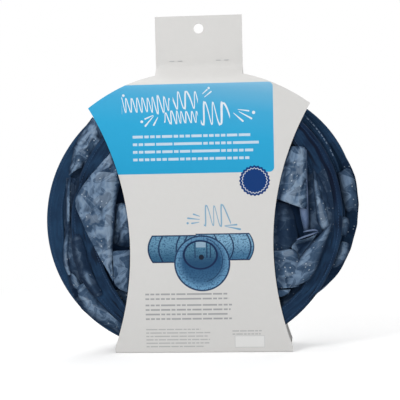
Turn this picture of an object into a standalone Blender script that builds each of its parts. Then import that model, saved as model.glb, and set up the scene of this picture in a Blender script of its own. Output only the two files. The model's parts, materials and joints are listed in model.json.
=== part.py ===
"""Three-way pop-up cat tunnel, pressed flat in its die-cut card sleeve: a standalone Blender 4.5 script.

Metres, +Z up. The pack stands on the spine of its card sleeve, with the face that the staples are clinched
on toward -Y and the origin under its middle. Nine sprung wire hoops, three for each arm of the tunnel, lie
in a stack along Y. Each wire runs in a folded tape casing, cloth joins each hoop to the next and folds
inward between them, and one panel of the hub passes outside the stack to reach the last arm.
"""

import math

import bmesh
import bpy
from mathutils import Matrix, Vector

MM = 0.001

# Clearance between pieces that touch, and how far cutters run past what they cut
CLEARANCE = 0.3 * MM
OVERRUN = 5 * MM

# Spring wire hoops
WIRE_DIAMETER = 1.8 * MM
HOOP_RADIUS = 126.3 * MM
WIRE_SIDES = 6
HOOP_STEPS = 36
HOOP_GAP = 2.2 * MM

# Tape folded over each wire
TAPE_THICKNESS = 0.5 * MM
TAPE_DEPTH = 16 * MM

# Cloth between the hoops
CLOTH_THICKNESS = 0.5 * MM
SEAM_DEPTH = 8 * MM
TAPE_OVERHANG = 2 * MM
FOLD_RADIUS = 60 * MM
HUB_FOLD_RADIUS = 56 * MM
FOLD_LIP = 5 * MM

# Panel of the hub that passes outside the stack
SIDE_FRONT_FLANGE = 12 * MM
SIDE_REAR_FLANGE = 30 * MM
SIDE_LOW_ANGLE = math.radians(-38)
SIDE_HIGH_ANGLE = math.radians(28)
SIDE_STEPS = 12

# Ball left inside for the cat
BALL_DIAMETER = 36 * MM

# Card sleeve
CARD_THICKNESS = 0.5 * MM
CREASE_RADIUS = 0.5 * MM
PANEL_CLEARANCE = 0.4 * MM
SHOULDER_SPARE = 1.0 * MM
TAB_HEIGHT = 47 * MM
TAB_WIDTH = 84 * MM
CARD_WIDTH = 210.4 * MM
WAIST_WIDTH = 136.6 * MM
SHOULDER_RADIUS = 175.8 * MM
FOOT_CHAMFER = 4.5 * MM
FOOT_CHAMFER_WIDTH = 2.2 * MM
HANG_HOLE_DIAMETER = 9.5 * MM
HANG_HOLE_DROP = 12.2 * MM

# Staples through both plies of the header
STAPLE_WIRE = 0.5 * MM
STAPLE_CROWN = 12.7 * MM
STAPLE_CLINCH = 4.4 * MM
STAPLE_SPACING = 45 * MM
STAPLE_RISE = 4 * MM

# Each hoop's place in the stack, front to back: shares of the casing radius that it lies to the right, is
# squashed and is lifted off the spine, and the angle in degrees that its long way rises to the right
HOOP_SHARES = {
    "front_mouth": (0.036, 0.020, 0.000, 25),
    "front_middle": (-0.167, 0.013, 0.000, 37),
    "front_hub": (0.064, 0.021, 0.041, 32),
    "left_hub": (0.116, 0.050, 0.065, 22),
    "left_middle": (-0.069, 0.012, 0.025, 10),
    "left_mouth": (0.085, 0.030, 0.032, 29),
    "right_mouth": (-0.116, 0.012, 0.025, 5),
    "right_middle": (0.124, 0.053, 0.051, 20),
    "right_hub": (0.017, 0.031, 0.000, 20),
}
CORE = "left_middle"

# The fold line's waves, as shares of the fold radius, and how many waves go round
FOLD_WAVE_SHARES = {3: 0.11, 5: 0.06}
# How far the cloth wanders across the half gap that is its own, and how much of it lies there at rest
DRIFT_SHARE = 0.14
LAY_SHARE = 0.24
DRIFT_WAVES = 7

# The card's outline: heights as shares of the flat panel's height, and the rise as a share of half the depth
CORNER_HEIGHT_SHARE = 0.928
WAIST_HEIGHT_SHARE = 0.399
SHOULDER_RISE_SHARE = 0.89
# How much flatter the curve of the card's sides is below the waist than above it
FOOT_CURVE_SHARE = 1.07

# Worked out from the sizes above
CASING_THICKNESS = WIRE_DIAMETER + 2 * (CLEARANCE + TAPE_THICKNESS)
CASING_RADIUS = HOOP_RADIUS + WIRE_DIAMETER / 2 + CLEARANCE + TAPE_THICKNESS
SLOT_WIDTH = WIRE_DIAMETER + 2 * CLEARANCE
PITCH = CASING_THICKNESS + HOOP_GAP
HALF_DEPTH = (len(HOOP_SHARES) - 1) / 2 * PITCH + CASING_THICKNESS / 2 + PANEL_CLEARANCE
CLOTH_OFFSET = CLOTH_THICKNESS / 2 + CLEARANCE


def from_screen(red, green, blue):
    """Linear colour of a colour given in 0 to 255 as a screen shows it."""
    return tuple((level / 255) ** 2.2 for level in (red, green, blue)) + (1.0,)


def make_material(name, colour, roughness, metallic=0.0):
    material = bpy.data.materials.new(name)
    material.use_nodes = True
    shader = material.node_tree.nodes["Principled BSDF"]
    shader.inputs["Base Color"].default_value = colour
    shader.inputs["Roughness"].default_value = roughness
    shader.inputs["Metallic"].default_value = metallic
    material.diffuse_color = colour
    return material


def spring_steel(name):
    return make_material(name, from_screen(170, 172, 176), 0.35, 1.0)


def navy_tape(name):
    return make_material(name, from_screen(38, 63, 94), 0.8)


def denim_cloth(name):
    return make_material(name, from_screen(112, 132, 162), 0.85)


def grey_card(name):
    return make_material(name, from_screen(219, 217, 214), 0.65)


def dark_plush(name):
    return make_material(name, from_screen(28, 42, 66), 0.95)


class Hoop:
    """One hoop of the stack: its middle, and an ellipse of nearly the length that the round hoop had."""

    def __init__(self, name, index):
        shift_share, squash_share, lift_share, lean_degrees = HOOP_SHARES[name]
        self.name = name
        self.long = 1 + squash_share
        self.short = 1 - squash_share
        self.lean = math.radians(lean_degrees)
        self.wide = 1 + squash_share * math.cos(2 * self.lean)
        self.low = 1 - squash_share * math.cos(2 * self.lean)
        self.skew = squash_share * math.sin(2 * self.lean)
        self.half_width = CASING_RADIUS * math.hypot(self.wide, self.skew)
        self.half_height = CASING_RADIUS * math.hypot(self.low, self.skew)
        self.x = shift_share * CASING_RADIUS
        self.y = (index - (len(HOOP_SHARES) - 1) / 2) * PITCH
        floor = CARD_THICKNESS + CLEARANCE + lift_share * CASING_RADIUS
        self.z = floor + self.half_height

    @property
    def centre(self):
        return Vector((self.x, self.y, self.z))

    @property
    def top(self):
        return self.z + self.half_height

    @property
    def turn(self):
        """Turn from the ring's own plane, long way along X, to its place standing in the stack."""
        return Matrix.Rotation(-self.lean, 4, "Y") @ Matrix.Rotation(math.radians(90), 4, "X")

    def point(self, radius, angle, y):
        """Point at this radius of the unsquashed hoop, on the plane at y."""
        across = radius * math.cos(angle)
        up = radius * math.sin(angle)
        return Vector((self.x + self.wide * across + self.skew * up, y,
                       self.z + self.skew * across + self.low * up))

    def unsquashed(self, across, up):
        """The same step in X and Z on the hoop before it was squashed."""
        area = self.wide * self.low - self.skew ** 2
        return (self.low * across - self.skew * up) / area, (self.wide * up - self.skew * across) / area

    def reach(self, angle, middle):
        """Distance from a middle point to the casing's edge, along an angle in X and Z."""
        east, north = self.unsquashed(math.cos(angle), math.sin(angle))
        east_start, north_start = self.unsquashed(middle.x - self.x, middle.z - self.z)
        square = east * east + north * north
        slope = east * east_start + north * north_start
        rest = east_start ** 2 + north_start ** 2 - CASING_RADIUS ** 2
        return (math.sqrt(slope * slope - square * rest) - slope) / square


def make_hoops():
    """The stack of hoops, moved sideways so that its left and right edges lie alike about the card."""
    hoops = [Hoop(name, index) for index, name in enumerate(HOOP_SHARES)]
    left = min(hoop.x - hoop.half_width for hoop in hoops)
    right = max(hoop.x + hoop.half_width for hoop in hoops)
    side_panel = CLEARANCE + CLOTH_THICKNESS
    for hoop in hoops:
        hoop.x -= (left + right + side_panel) / 2
    return {hoop.name: hoop for hoop in hoops}


def clear_scene():
    for item in list(bpy.data.objects):
        bpy.data.objects.remove(item, do_unlink=True)


def make_collection(name):
    collection = bpy.data.collections.new(name)
    bpy.context.scene.collection.children.link(collection)
    return collection


def move_to(item, collection):
    for holder in list(item.users_collection):
        holder.objects.unlink(item)
    collection.objects.link(item)


def add_mesh(name, builder, collection, material=None):
    """Object from a bmesh, with its normals made to face out."""
    mesh = bpy.data.meshes.new(name)
    bmesh.ops.recalc_face_normals(builder, faces=builder.faces)
    builder.to_mesh(mesh)
    builder.free()
    item = bpy.data.objects.new(name, mesh)
    collection.objects.link(item)
    if material:
        mesh.materials.append(material)
    return item


def add_body_empty(name, place, collection):
    empty = bpy.data.objects.new(name, None)
    empty.location = place
    empty.empty_display_size = TAPE_DEPTH
    collection.objects.link(empty)
    return empty


def carry(item, empty):
    """Parent a piece to its body's empty without moving it."""
    item.parent = empty
    item.matrix_parent_inverse = Matrix.Translation(empty.location).inverted()


def smooth(item, degrees=40):
    item.data.shade_smooth()
    item.data.set_sharp_from_angle(angle=math.radians(degrees))


def add_solidify(item, thickness):
    solid = item.modifiers.new("thickness", "SOLIDIFY")
    solid.thickness = thickness
    solid.offset = 0
    return solid


def add_boolean(item, cutter, operation):
    boolean = item.modifiers.new(cutter.name, "BOOLEAN")
    boolean.operation = operation
    boolean.object = cutter
    return boolean


def make_cutter(item, cutters):
    move_to(item, cutters)
    item.hide_render = True
    item.display_type = "WIRE"
    return item


def hoop_wire(hoop, parts):
    """The sprung wire, a ring of round section."""
    bpy.ops.mesh.primitive_torus_add(
        major_segments=HOOP_STEPS, minor_segments=WIRE_SIDES,
        major_radius=HOOP_RADIUS, minor_radius=WIRE_DIAMETER / 2)
    item = bpy.context.object
    item.name = item.data.name = f"{hoop.name}_wire"
    item.data.transform(hoop.turn @ Matrix.Diagonal((hoop.long, hoop.short, 1, 1)))
    item.location = hoop.centre
    item.data.materials.append(spring_steel(item.name))
    item.data.shade_smooth()
    move_to(item, parts)
    return item


def hoop_casing(hoop, parts):
    """Tape folded over the wire: a channel that opens toward the hoop's middle, turned round the hoop."""
    outer = CASING_RADIUS
    bottom = CASING_RADIUS - TAPE_THICKNESS
    inner = CASING_RADIUS - TAPE_DEPTH
    half = CASING_THICKNESS / 2
    slot = SLOT_WIDTH / 2
    profile = [(outer, half), (outer, -half), (inner, -half), (inner, -slot),
               (bottom, -slot), (bottom, slot), (inner, slot), (inner, half)]
    builder = bmesh.new()
    corners = [builder.verts.new((radius, 0, height)) for radius, height in profile]
    for first, second in zip(corners, corners[1:] + corners[:1]):
        builder.edges.new((first, second))
    mesh = bpy.data.meshes.new(f"{hoop.name}_casing")
    builder.to_mesh(mesh)
    builder.free()
    item = bpy.data.objects.new(mesh.name, mesh)
    parts.objects.link(item)
    mesh.materials.append(navy_tape(item.name))
    turn = item.modifiers.new("turn", "SCREW")
    turn.steps = turn.render_steps = HOOP_STEPS
    turn.use_merge_vertices = True
    turn.merge_threshold = CLEARANCE / 10
    turn.use_smooth_shade = False
    item.rotation_euler = hoop.turn.to_euler()
    item.scale = (hoop.long, hoop.short, 1)
    item.location = hoop.centre
    return item


def fold_radius(angle, radius, phase):
    """Where the cloth between two hoops folds back, with the waves that crumpling gives it."""
    waves = sum(share * math.sin(count * angle + phase * count) for count, share in FOLD_WAVE_SHARES.items())
    return radius * (1 + waves)


def pleat_section(front, back, angle, radius, phase):
    """One section of the cloth between two hoops: in from the front casing, round the fold and out."""
    middle = (front.centre + back.centre) / 2
    direction = Vector((math.cos(angle), 0, math.sin(angle)))
    tip = fold_radius(angle, radius, phase)
    drift = DRIFT_SHARE * PITCH * math.sin(DRIFT_WAVES * angle + phase)
    lay = LAY_SHARE * PITCH
    seam = CASING_RADIUS - SEAM_DEPTH
    edge = CASING_RADIUS - TAPE_DEPTH - TAPE_OVERHANG
    lip = middle + direction * (tip + FOLD_LIP)
    return [
        front.point(seam, angle, front.y + CLOTH_OFFSET),
        front.point(edge, angle, front.y + CLOTH_OFFSET),
        Vector((lip.x, front.y + lay + drift, lip.z)),
        middle + direction * tip,
        Vector((lip.x, back.y - lay + drift, lip.z)),
        back.point(edge, angle, back.y - CLOTH_OFFSET),
        back.point(seam, angle, back.y - CLOTH_OFFSET),
    ]


def loft(sections, closed):
    """Quads between each section and the next, and from the last to the first where the loft is closed."""
    builder = bmesh.new()
    rows = [[builder.verts.new(point) for point in section] for section in sections]
    pairs = list(zip(rows, rows[1:]))
    if closed:
        pairs.append((rows[-1], rows[0]))
    for row, following in pairs:
        for index in range(len(row) - 1):
            builder.faces.new((row[index], row[index + 1], following[index + 1], following[index]))
    return builder


def hoop_cloth(name, front, back, radius, phase, parts):
    """Tube of cloth between two hoops, with its slack folded inward as a pleat."""
    angles = [2 * math.pi * step / HOOP_STEPS for step in range(HOOP_STEPS)]
    sections = [pleat_section(front, back, angle, radius, phase) for angle in angles]
    item = add_mesh(name, loft(sections, True), parts, denim_cloth(name))
    add_solidify(item, CLOTH_THICKNESS)
    smooth(item)
    return item


def hub_side_cloth(hoops, parts):
    """The hub's outer panel: from between the front and left arms, round the stack's right edge, to the
    last hoop's face."""
    inside = [hoops[name] for name in ("left_hub", "left_middle", "left_mouth", "right_mouth", "right_middle")]
    middle = hoops[CORE].centre
    front = (hoops["front_hub"].y + hoops["left_hub"].y) / 2
    rear = (hoops["right_middle"].y + hoops["right_hub"].y) / 2
    sections = []
    for step in range(SIDE_STEPS + 1):
        angle = SIDE_LOW_ANGLE + (SIDE_HIGH_ANGLE - SIDE_LOW_ANGLE) * step / SIDE_STEPS
        direction = Vector((math.cos(angle), 0, math.sin(angle)))
        wall = max(hoop.reach(angle, middle) for hoop in inside) + CLEARANCE + CLOTH_THICKNESS / 2
        fade = math.sin(math.pi * (step + 1) / (SIDE_STEPS + 2))
        profile = [(wall - SIDE_FRONT_FLANGE * fade, front), (wall, front),
                   (wall, rear), (wall - SIDE_REAR_FLANGE * fade, rear)]
        sections.append([Vector((middle.x, y, middle.z)) + direction * reach for reach, y in profile])
    item = add_mesh("hub_side_cloth", loft(sections, False), parts, denim_cloth("hub_side_cloth"))
    add_solidify(item, CLOTH_THICKNESS)
    smooth(item)
    return item


def toy_ball(hoops, fold_rings, parts):
    """Soft ball at the bottom of the flattened bore, resting on the fold lines of the cloth."""
    reach = (BALL_DIAMETER + CLOTH_THICKNESS) / 2 + CLEARANCE
    core = hoops[CORE]
    seat = 0
    for ring in fold_rings:
        for start, end in zip(ring, ring[1:] + ring[:1]):
            for step in range(HOOP_STEPS):
                point = start.lerp(end, step / HOOP_STEPS)
                apart = (point.x - core.x) ** 2 + (point.y - core.y) ** 2
                if point.z < core.z and apart < reach * reach:
                    seat = max(seat, point.z + math.sqrt(reach * reach - apart))
    bpy.ops.mesh.primitive_uv_sphere_add(segments=16, ring_count=10, radius=BALL_DIAMETER / 2)
    item = bpy.context.object
    item.name = item.data.name = "toy_ball"
    item.location = (core.x, core.y, seat)
    item.data.materials.append(dark_plush("toy_ball"))
    item.data.shade_smooth()
    move_to(item, parts)
    return item


def smoothstep(share):
    return share * share * (3 - 2 * share)


def smoothstep_share(level):
    """The share of the run at which smoothstep reaches a level."""
    return 0.5 - math.sin(math.asin(1 - 2 * level) / 3)


class Sleeve:
    """Heights and depths of the card sleeve, fitted round the stack of hoops."""

    def __init__(self, hoops):
        self.panel_y = HALF_DEPTH + CARD_THICKNESS / 2
        self.ply_y = (CARD_THICKNESS + CLEARANCE) / 2
        self.rise = SHOULDER_RISE_SHARE * HALF_DEPTH
        starts = []
        for hoop in hoops.values():
            level = (HALF_DEPTH - abs(hoop.y) - CASING_THICKNESS / 2 - CLEARANCE) / (self.panel_y - self.ply_y)
            starts.append(hoop.top + SHOULDER_SPARE - self.rise * smoothstep_share(level))
        self.flat_top = max(starts)
        self.tab_foot = self.flat_top + self.rise
        self.top = self.tab_foot + TAB_HEIGHT

    def half_path(self):
        """Centre line of the card's rear half in Y and Z, from the spine's middle to above the tab."""
        bend = CREASE_RADIUS + CARD_THICKNESS / 2
        crease_steps, shoulder_steps = 3, 9
        points = [(0, CARD_THICKNESS / 2)]
        for step in range(crease_steps + 1):
            angle = math.pi / 2 * step / crease_steps
            y = self.panel_y - bend + bend * math.sin(angle)
            z = CARD_THICKNESS / 2 + bend - bend * math.cos(angle)
            points.append((y, z))
        for step in range(shoulder_steps + 1):
            share = step / shoulder_steps
            y = self.panel_y + (self.ply_y - self.panel_y) * smoothstep(share)
            points.append((y, self.flat_top + self.rise * share))
        points.append((self.ply_y, self.top + OVERRUN))
        return points

    def half_outline(self):
        """Right half of the die-cut outline in X and Z, from under the spine to the tab's top corner."""
        side_steps, shoulder_steps = 14, 7
        corner_x = CARD_WIDTH / 2
        corner_z = CORNER_HEIGHT_SHARE * self.flat_top
        waist_x = WAIST_WIDTH / 2
        waist_z = WAIST_HEIGHT_SHARE * self.flat_top
        run = corner_x - waist_x
        drop = corner_z - waist_z
        upper_radius = (run * run + drop * drop) / (2 * run)

        def side(z):
            radius = upper_radius if z > waist_z else upper_radius * FOOT_CURVE_SHARE
            return waist_x + radius - math.sqrt(radius ** 2 - (z - waist_z) ** 2)

        foot_x = side(FOOT_CHAMFER) - FOOT_CHAMFER_WIDTH
        points = [(foot_x, -OVERRUN), (foot_x, 0)]
        for step in range(side_steps + 1):
            z = FOOT_CHAMFER + (corner_z - FOOT_CHAMFER) * step / side_steps
            points.append((side(z), z))
        shoulder_z = corner_z - math.sqrt(SHOULDER_RADIUS ** 2 - corner_x ** 2)
        for step in range(1, shoulder_steps + 1):
            x = corner_x + (TAB_WIDTH / 2 - corner_x) * step / shoulder_steps
            points.append((x, shoulder_z + math.sqrt(SHOULDER_RADIUS ** 2 - x * x)))
        points.append((TAB_WIDTH / 2, self.top))
        return points


def mirrored(points):
    """A half line of (across, along) points followed round by its mirror image."""
    return points + [(-across, along) for across, along in reversed(points)]


def card_ribbon(sleeve, parts):
    """The card before it is trimmed: one strip that goes down the front, under the spine and up the back."""
    half = sleeve.half_path()
    path = [(-y, z) for y, z in reversed(half)] + half[1:]
    builder = bmesh.new()
    start = -CARD_WIDTH / 2 - OVERRUN
    verts = [builder.verts.new((start, y, z)) for y, z in path]
    edges = [builder.edges.new(pair) for pair in zip(verts, verts[1:])]
    swept = bmesh.ops.extrude_edge_only(builder, edges=edges)
    moved = [item for item in swept["geom"] if isinstance(item, bmesh.types.BMVert)]
    bmesh.ops.translate(builder, verts=moved, vec=(-2 * start, 0, 0))
    item = add_mesh("card_sleeve", builder, parts, grey_card("card_sleeve"))
    solid = add_solidify(item, CARD_THICKNESS)
    solid.use_even_offset = True
    return item


def outline_cutter(sleeve, cutters):
    """A block of the card's outline, right through the pack."""
    builder = bmesh.new()
    depth = sleeve.panel_y + OVERRUN
    outline = mirrored(sleeve.half_outline())
    face = builder.faces.new([builder.verts.new((x, -depth, z)) for x, z in outline])
    swept = bmesh.ops.extrude_face_region(builder, geom=[face])
    moved = [item for item in swept["geom"] if isinstance(item, bmesh.types.BMVert)]
    bmesh.ops.translate(builder, verts=moved, vec=(0, 2 * depth, 0))
    return make_cutter(add_mesh("outline_cutter", builder, cutters), cutters)


def hole_cutter(name, places, diameter, sides, sleeve, cutters):
    """Round pins along Y through the header, one at each place in X and Z."""
    builder = bmesh.new()
    for x, z in places:
        turned = Matrix.Translation((x, 0, z)) @ Matrix.Rotation(math.radians(90), 4, "X")
        bmesh.ops.create_cone(
            builder, cap_ends=True, segments=sides, radius1=diameter / 2, radius2=diameter / 2,
            depth=2 * (sleeve.ply_y + OVERRUN), matrix=turned)
    return make_cutter(add_mesh(name, builder, cutters), cutters)


def staple_legs(sleeve):
    """Middle of each staple's crown, and half the distance between its legs."""
    height = sleeve.tab_foot + STAPLE_RISE
    half_span = (STAPLE_CROWN - STAPLE_WIRE) / 2
    return [(-STAPLE_SPACING / 2, height), (STAPLE_SPACING / 2, height)], half_span


def card_sleeve(sleeve, parts, cutters):
    """Folded card: front panel, spine and back panel, drawn together at the top into a two-ply header."""
    item = card_ribbon(sleeve, parts)
    add_boolean(item, outline_cutter(sleeve, cutters), "INTERSECT")
    hang_place = [(0, sleeve.top - HANG_HOLE_DROP)]
    add_boolean(item, hole_cutter("hang_hole_cutter", hang_place, HANG_HOLE_DIAMETER, 24, sleeve, cutters),
                "DIFFERENCE")
    crowns, half_span = staple_legs(sleeve)
    legs = [(x + side * half_span, z) for x, z in crowns for side in (-1, 1)]
    leg_hole = STAPLE_WIRE + 2 * CLEARANCE
    add_boolean(item, hole_cutter("staple_hole_cutter", legs, leg_hole, 8, sleeve, cutters), "DIFFERENCE")
    return item


def staple(name, sleeve, middle, parts):
    """Wire staple driven from behind, with both legs clinched inward on the front."""
    _, half_span = staple_legs(sleeve)
    x, z = middle
    crown_y = sleeve.ply_y + CARD_THICKNESS / 2 + CLEARANCE + STAPLE_WIRE / 2
    bend = STAPLE_WIRE
    half = [(0, crown_y), (half_span - bend, crown_y), (half_span, crown_y - bend),
            (half_span, bend - crown_y), (half_span - bend, -crown_y), (half_span - STAPLE_CLINCH, -crown_y)]
    path = [(-across, y) for across, y in reversed(half)] + half[1:]
    curve = bpy.data.curves.new(name, "CURVE")
    curve.dimensions = "3D"
    curve.bevel_depth = STAPLE_WIRE / 2
    curve.bevel_resolution = 1
    curve.use_fill_caps = True
    line = curve.splines.new("POLY")
    line.points.add(len(path) - 1)
    for point, (across, y) in zip(line.points, path):
        point.co = (across, y, 0, 1)
    curve.materials.append(spring_steel(name))
    item = bpy.data.objects.new(name, curve)
    item.location = (x, 0, z)
    parts.objects.link(item)
    return item


# Cloth piece, the hoops that it joins, its fold radius and the phase of its waves
CLOTHS = (
    ("front_outer_cloth", "front_mouth", "front_middle", FOLD_RADIUS, 0.4),
    ("front_inner_cloth", "front_middle", "front_hub", FOLD_RADIUS, 1.5),
    ("hub_cloth", "front_hub", "left_hub", HUB_FOLD_RADIUS, 2.9),
    ("left_inner_cloth", "left_hub", "left_middle", FOLD_RADIUS, 0.9),
    ("left_outer_cloth", "left_middle", "left_mouth", FOLD_RADIUS, 2.2),
    ("right_outer_cloth", "right_mouth", "right_middle", FOLD_RADIUS, 3.4),
    ("right_inner_cloth", "right_middle", "right_hub", FOLD_RADIUS, 5.0),
)


def build():
    clear_scene()
    parts = make_collection("cat_tunnel_pack")
    cutters = make_collection("cutters")
    hoops = make_hoops()
    sleeve = Sleeve(hoops)

    empties = {name: add_body_empty(f"{name}_body", hoop.centre, parts) for name, hoop in hoops.items()}
    for name, hoop in hoops.items():
        for piece in (hoop_wire(hoop, parts), hoop_casing(hoop, parts)):
            carry(piece, empties[name])

    fold_rings = []
    for name, front, back, radius, phase in CLOTHS:
        cloth = hoop_cloth(name, hoops[front], hoops[back], radius, phase, parts)
        carry(cloth, empties[front])
        middle = (hoops[front].centre + hoops[back].centre) / 2
        angles = [2 * math.pi * step / HOOP_STEPS for step in range(HOOP_STEPS)]
        fold_rings.append([middle + fold_radius(angle, radius, phase)
                           * Vector((math.cos(angle), 0, math.sin(angle))) for angle in angles])

    carry(hub_side_cloth(hoops, parts), empties[CORE])
    carry(toy_ball(hoops, fold_rings, parts), empties[CORE])

    sleeve_empty = add_body_empty("sleeve_body", Vector((0, 0, 0)), parts)
    carry(card_sleeve(sleeve, parts, cutters), sleeve_empty)
    crowns, _ = staple_legs(sleeve)
    for side, middle in zip(("left", "right"), crowns):
        carry(staple(f"staple_{side}", sleeve, middle, parts), sleeve_empty)

    print("flat panel top", round(sleeve.flat_top, 4), "tab foot", round(sleeve.tab_foot, 4),
          "top", round(sleeve.top, 4), "half depth", round(HALF_DEPTH, 5))
    for hoop in hoops.values():
        print(hoop.name, [round(value, 5) for value in hoop.centre], "top", round(hoop.top, 4))


build()
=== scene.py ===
# %% [markdown]
# # A pop-up cat tunnel, pressed flat in its card sleeve
# The real object is a tunnel of printed polyester, sewn to nine sprung wire hoops and pushed flat, so
# that the hoops lie in a stack like plates. A printed card is folded round the stack and stapled above
# it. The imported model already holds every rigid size. This lesson dresses it: board, tape, crumpled
# cloth, wire.

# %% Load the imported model
import json
import math

import bmesh
import bpy
from mathutils import Matrix, Vector, noise


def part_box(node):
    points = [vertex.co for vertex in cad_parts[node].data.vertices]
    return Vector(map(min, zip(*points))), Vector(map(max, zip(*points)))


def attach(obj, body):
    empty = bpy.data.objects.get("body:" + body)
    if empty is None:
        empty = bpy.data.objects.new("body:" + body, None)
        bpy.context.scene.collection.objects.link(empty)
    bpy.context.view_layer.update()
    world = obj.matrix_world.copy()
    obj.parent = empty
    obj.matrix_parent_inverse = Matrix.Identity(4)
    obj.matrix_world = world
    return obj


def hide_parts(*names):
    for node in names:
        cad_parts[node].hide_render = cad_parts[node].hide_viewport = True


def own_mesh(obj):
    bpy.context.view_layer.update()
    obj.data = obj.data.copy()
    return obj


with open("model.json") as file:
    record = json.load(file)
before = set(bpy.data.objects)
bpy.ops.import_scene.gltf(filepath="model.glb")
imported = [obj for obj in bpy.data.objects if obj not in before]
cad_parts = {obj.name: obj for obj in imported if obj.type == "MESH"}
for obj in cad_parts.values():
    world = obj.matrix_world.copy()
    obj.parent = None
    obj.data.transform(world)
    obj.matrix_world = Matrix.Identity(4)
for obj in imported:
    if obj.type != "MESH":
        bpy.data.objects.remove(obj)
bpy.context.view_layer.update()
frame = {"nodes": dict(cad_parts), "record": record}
MM = 0.001

# %% [markdown]
# ## The camera
# A photograph of a flat pack is taken nearly square on. Fitting the header, the shoulders and the foot
# of the card to their places in the picture gives a camera one metre away, a little to the right and
# above. The camera comes first, because the cloth is later laid out along its lines of sight.

# %% Camera
FRAME_PIXELS = 400
PIXEL_SIZE = 0.949 * MM
SENSOR = 36.0
DISTANCE = 1.0
AIM = Vector((-0.0003, -0.025, 0.1462))
YAW = math.radians(4.27)
PITCH = math.radians(-3.26)
ROLL = math.radians(-1.27)

turn = (Matrix.Rotation(YAW, 4, "Z") @ Matrix.Rotation(math.pi / 2 + PITCH, 4, "X")
        @ Matrix.Rotation(ROLL, 4, "Z"))
eye = AIM + turn.to_3x3() @ Vector((0, 0, DISTANCE))
camera = bpy.data.objects.new("camera", bpy.data.cameras.new("camera"))
camera.data.sensor_width = SENSOR
camera.data.lens = SENSOR * DISTANCE / (FRAME_PIXELS * PIXEL_SIZE)
camera.matrix_world = Matrix.Translation(eye) @ turn
bpy.context.scene.collection.objects.link(camera)
bpy.context.scene.camera = camera
print("lens", round(camera.data.lens, 1), "mm, eye", tuple(round(value, 3) for value in eye))


def seen_at(across, down, depth):
    """The point on the plane y = depth that the camera sees at this place in its square frame."""
    sight = turn.to_3x3() @ Vector(((across - FRAME_PIXELS / 2) * PIXEL_SIZE,
                                    (FRAME_PIXELS / 2 - down) * PIXEL_SIZE, -DISTANCE))
    return eye + sight * ((depth - eye.y) / sight.y)


# %% [markdown]
# ## Light, floor and backdrop
# Product pictures of this kind are lit from the front by large soft boxes and cut out on white. The
# world is white only where the camera, a reflection or a transmission looks straight at it, and dimmer
# as a lamp, so that the card doesn't clip. The floor gets a little glow in the camera's eyes for the
# same reason: it reads as white and still keeps the shadow.

# %% Stage
WORLD_LEVEL = 0.30
FLOOR_GLOW = 0.30
FLOOR_FADE = (0.22, 0.5)
LAMPS = {  # place, size in metres, watts
    "key_lamp": ((-1.0, -1.1, 1.25), 0.6, 17),
    "fill_lamp": ((1.15, -1.2, 0.75), 0.9, 5),
    "rear_lamp": ((0.7, 1.5, 1.1), 1.0, 17),
    "top_lamp": ((-0.3, 0.2, 1.6), 0.8, 5),
}
LIT_POINT = Vector((0, 0, 0.15))

for name, (place, size, watts) in LAMPS.items():
    lamp = bpy.data.objects.new(name, bpy.data.lights.new(name, "AREA"))
    lamp.data.shape = "SQUARE"
    lamp.data.size = size
    lamp.data.energy = watts
    lamp.location = place
    lamp.rotation_euler = (LIT_POINT - Vector(place)).to_track_quat("-Z", "Y").to_euler()
    bpy.context.scene.collection.objects.link(lamp)

world = bpy.data.worlds.new("white_room")
bpy.context.scene.world = world
world.use_nodes = True
tree = world.node_tree
room = tree.nodes["Background"]
room.inputs["Color"].default_value = (1, 1, 1, 1)
room.inputs["Strength"].default_value = WORLD_LEVEL
white = tree.nodes.new("ShaderNodeBackground")
white.inputs["Color"].default_value = (1, 1, 1, 1)
paths = tree.nodes.new("ShaderNodeLightPath")
seen = None
for ray in ("Is Camera Ray", "Is Glossy Ray", "Is Transmission Ray"):
    if seen is None:
        seen = paths.outputs[ray]
        continue
    either = tree.nodes.new("ShaderNodeMath")
    either.operation = "MAXIMUM"
    tree.links.new(seen, either.inputs[0])
    tree.links.new(paths.outputs[ray], either.inputs[1])
    seen = either.outputs[0]
choice = tree.nodes.new("ShaderNodeMixShader")
tree.links.new(seen, choice.inputs[0])
tree.links.new(room.outputs[0], choice.inputs[1])
tree.links.new(white.outputs[0], choice.inputs[2])
tree.links.new(choice.outputs[0], tree.nodes["World Output"].inputs["Surface"])
bpy.context.scene.view_settings.view_transform = "Standard"

# %% [markdown]
# ## Shader maths as plain expressions
# A node tree is hard to read as a list of links. Wrapping one output socket in a small class, with the
# arithmetic operators overloaded, lets a mask be written the way it would be on paper: `1 - mask *
# 0.5`. Each operator adds one Math node, or one Vector Math node where the value is a vector.


# %% The socket wrapper


def operator(operation, swapped=False):
    """A method of Signal that adds one node."""
    def add_node(self, *others):
        values = others + (self,) if swapped else (self,) + others
        vector = any(isinstance(value, Signal) and value.socket.type == "VECTOR"
                     for value in values)
        kind = "ShaderNodeVectorMath" if vector else "ShaderNodeMath"
        return self.paint.node(kind, {"operation": operation}, dict(enumerate(values))).out
    return add_node


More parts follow.
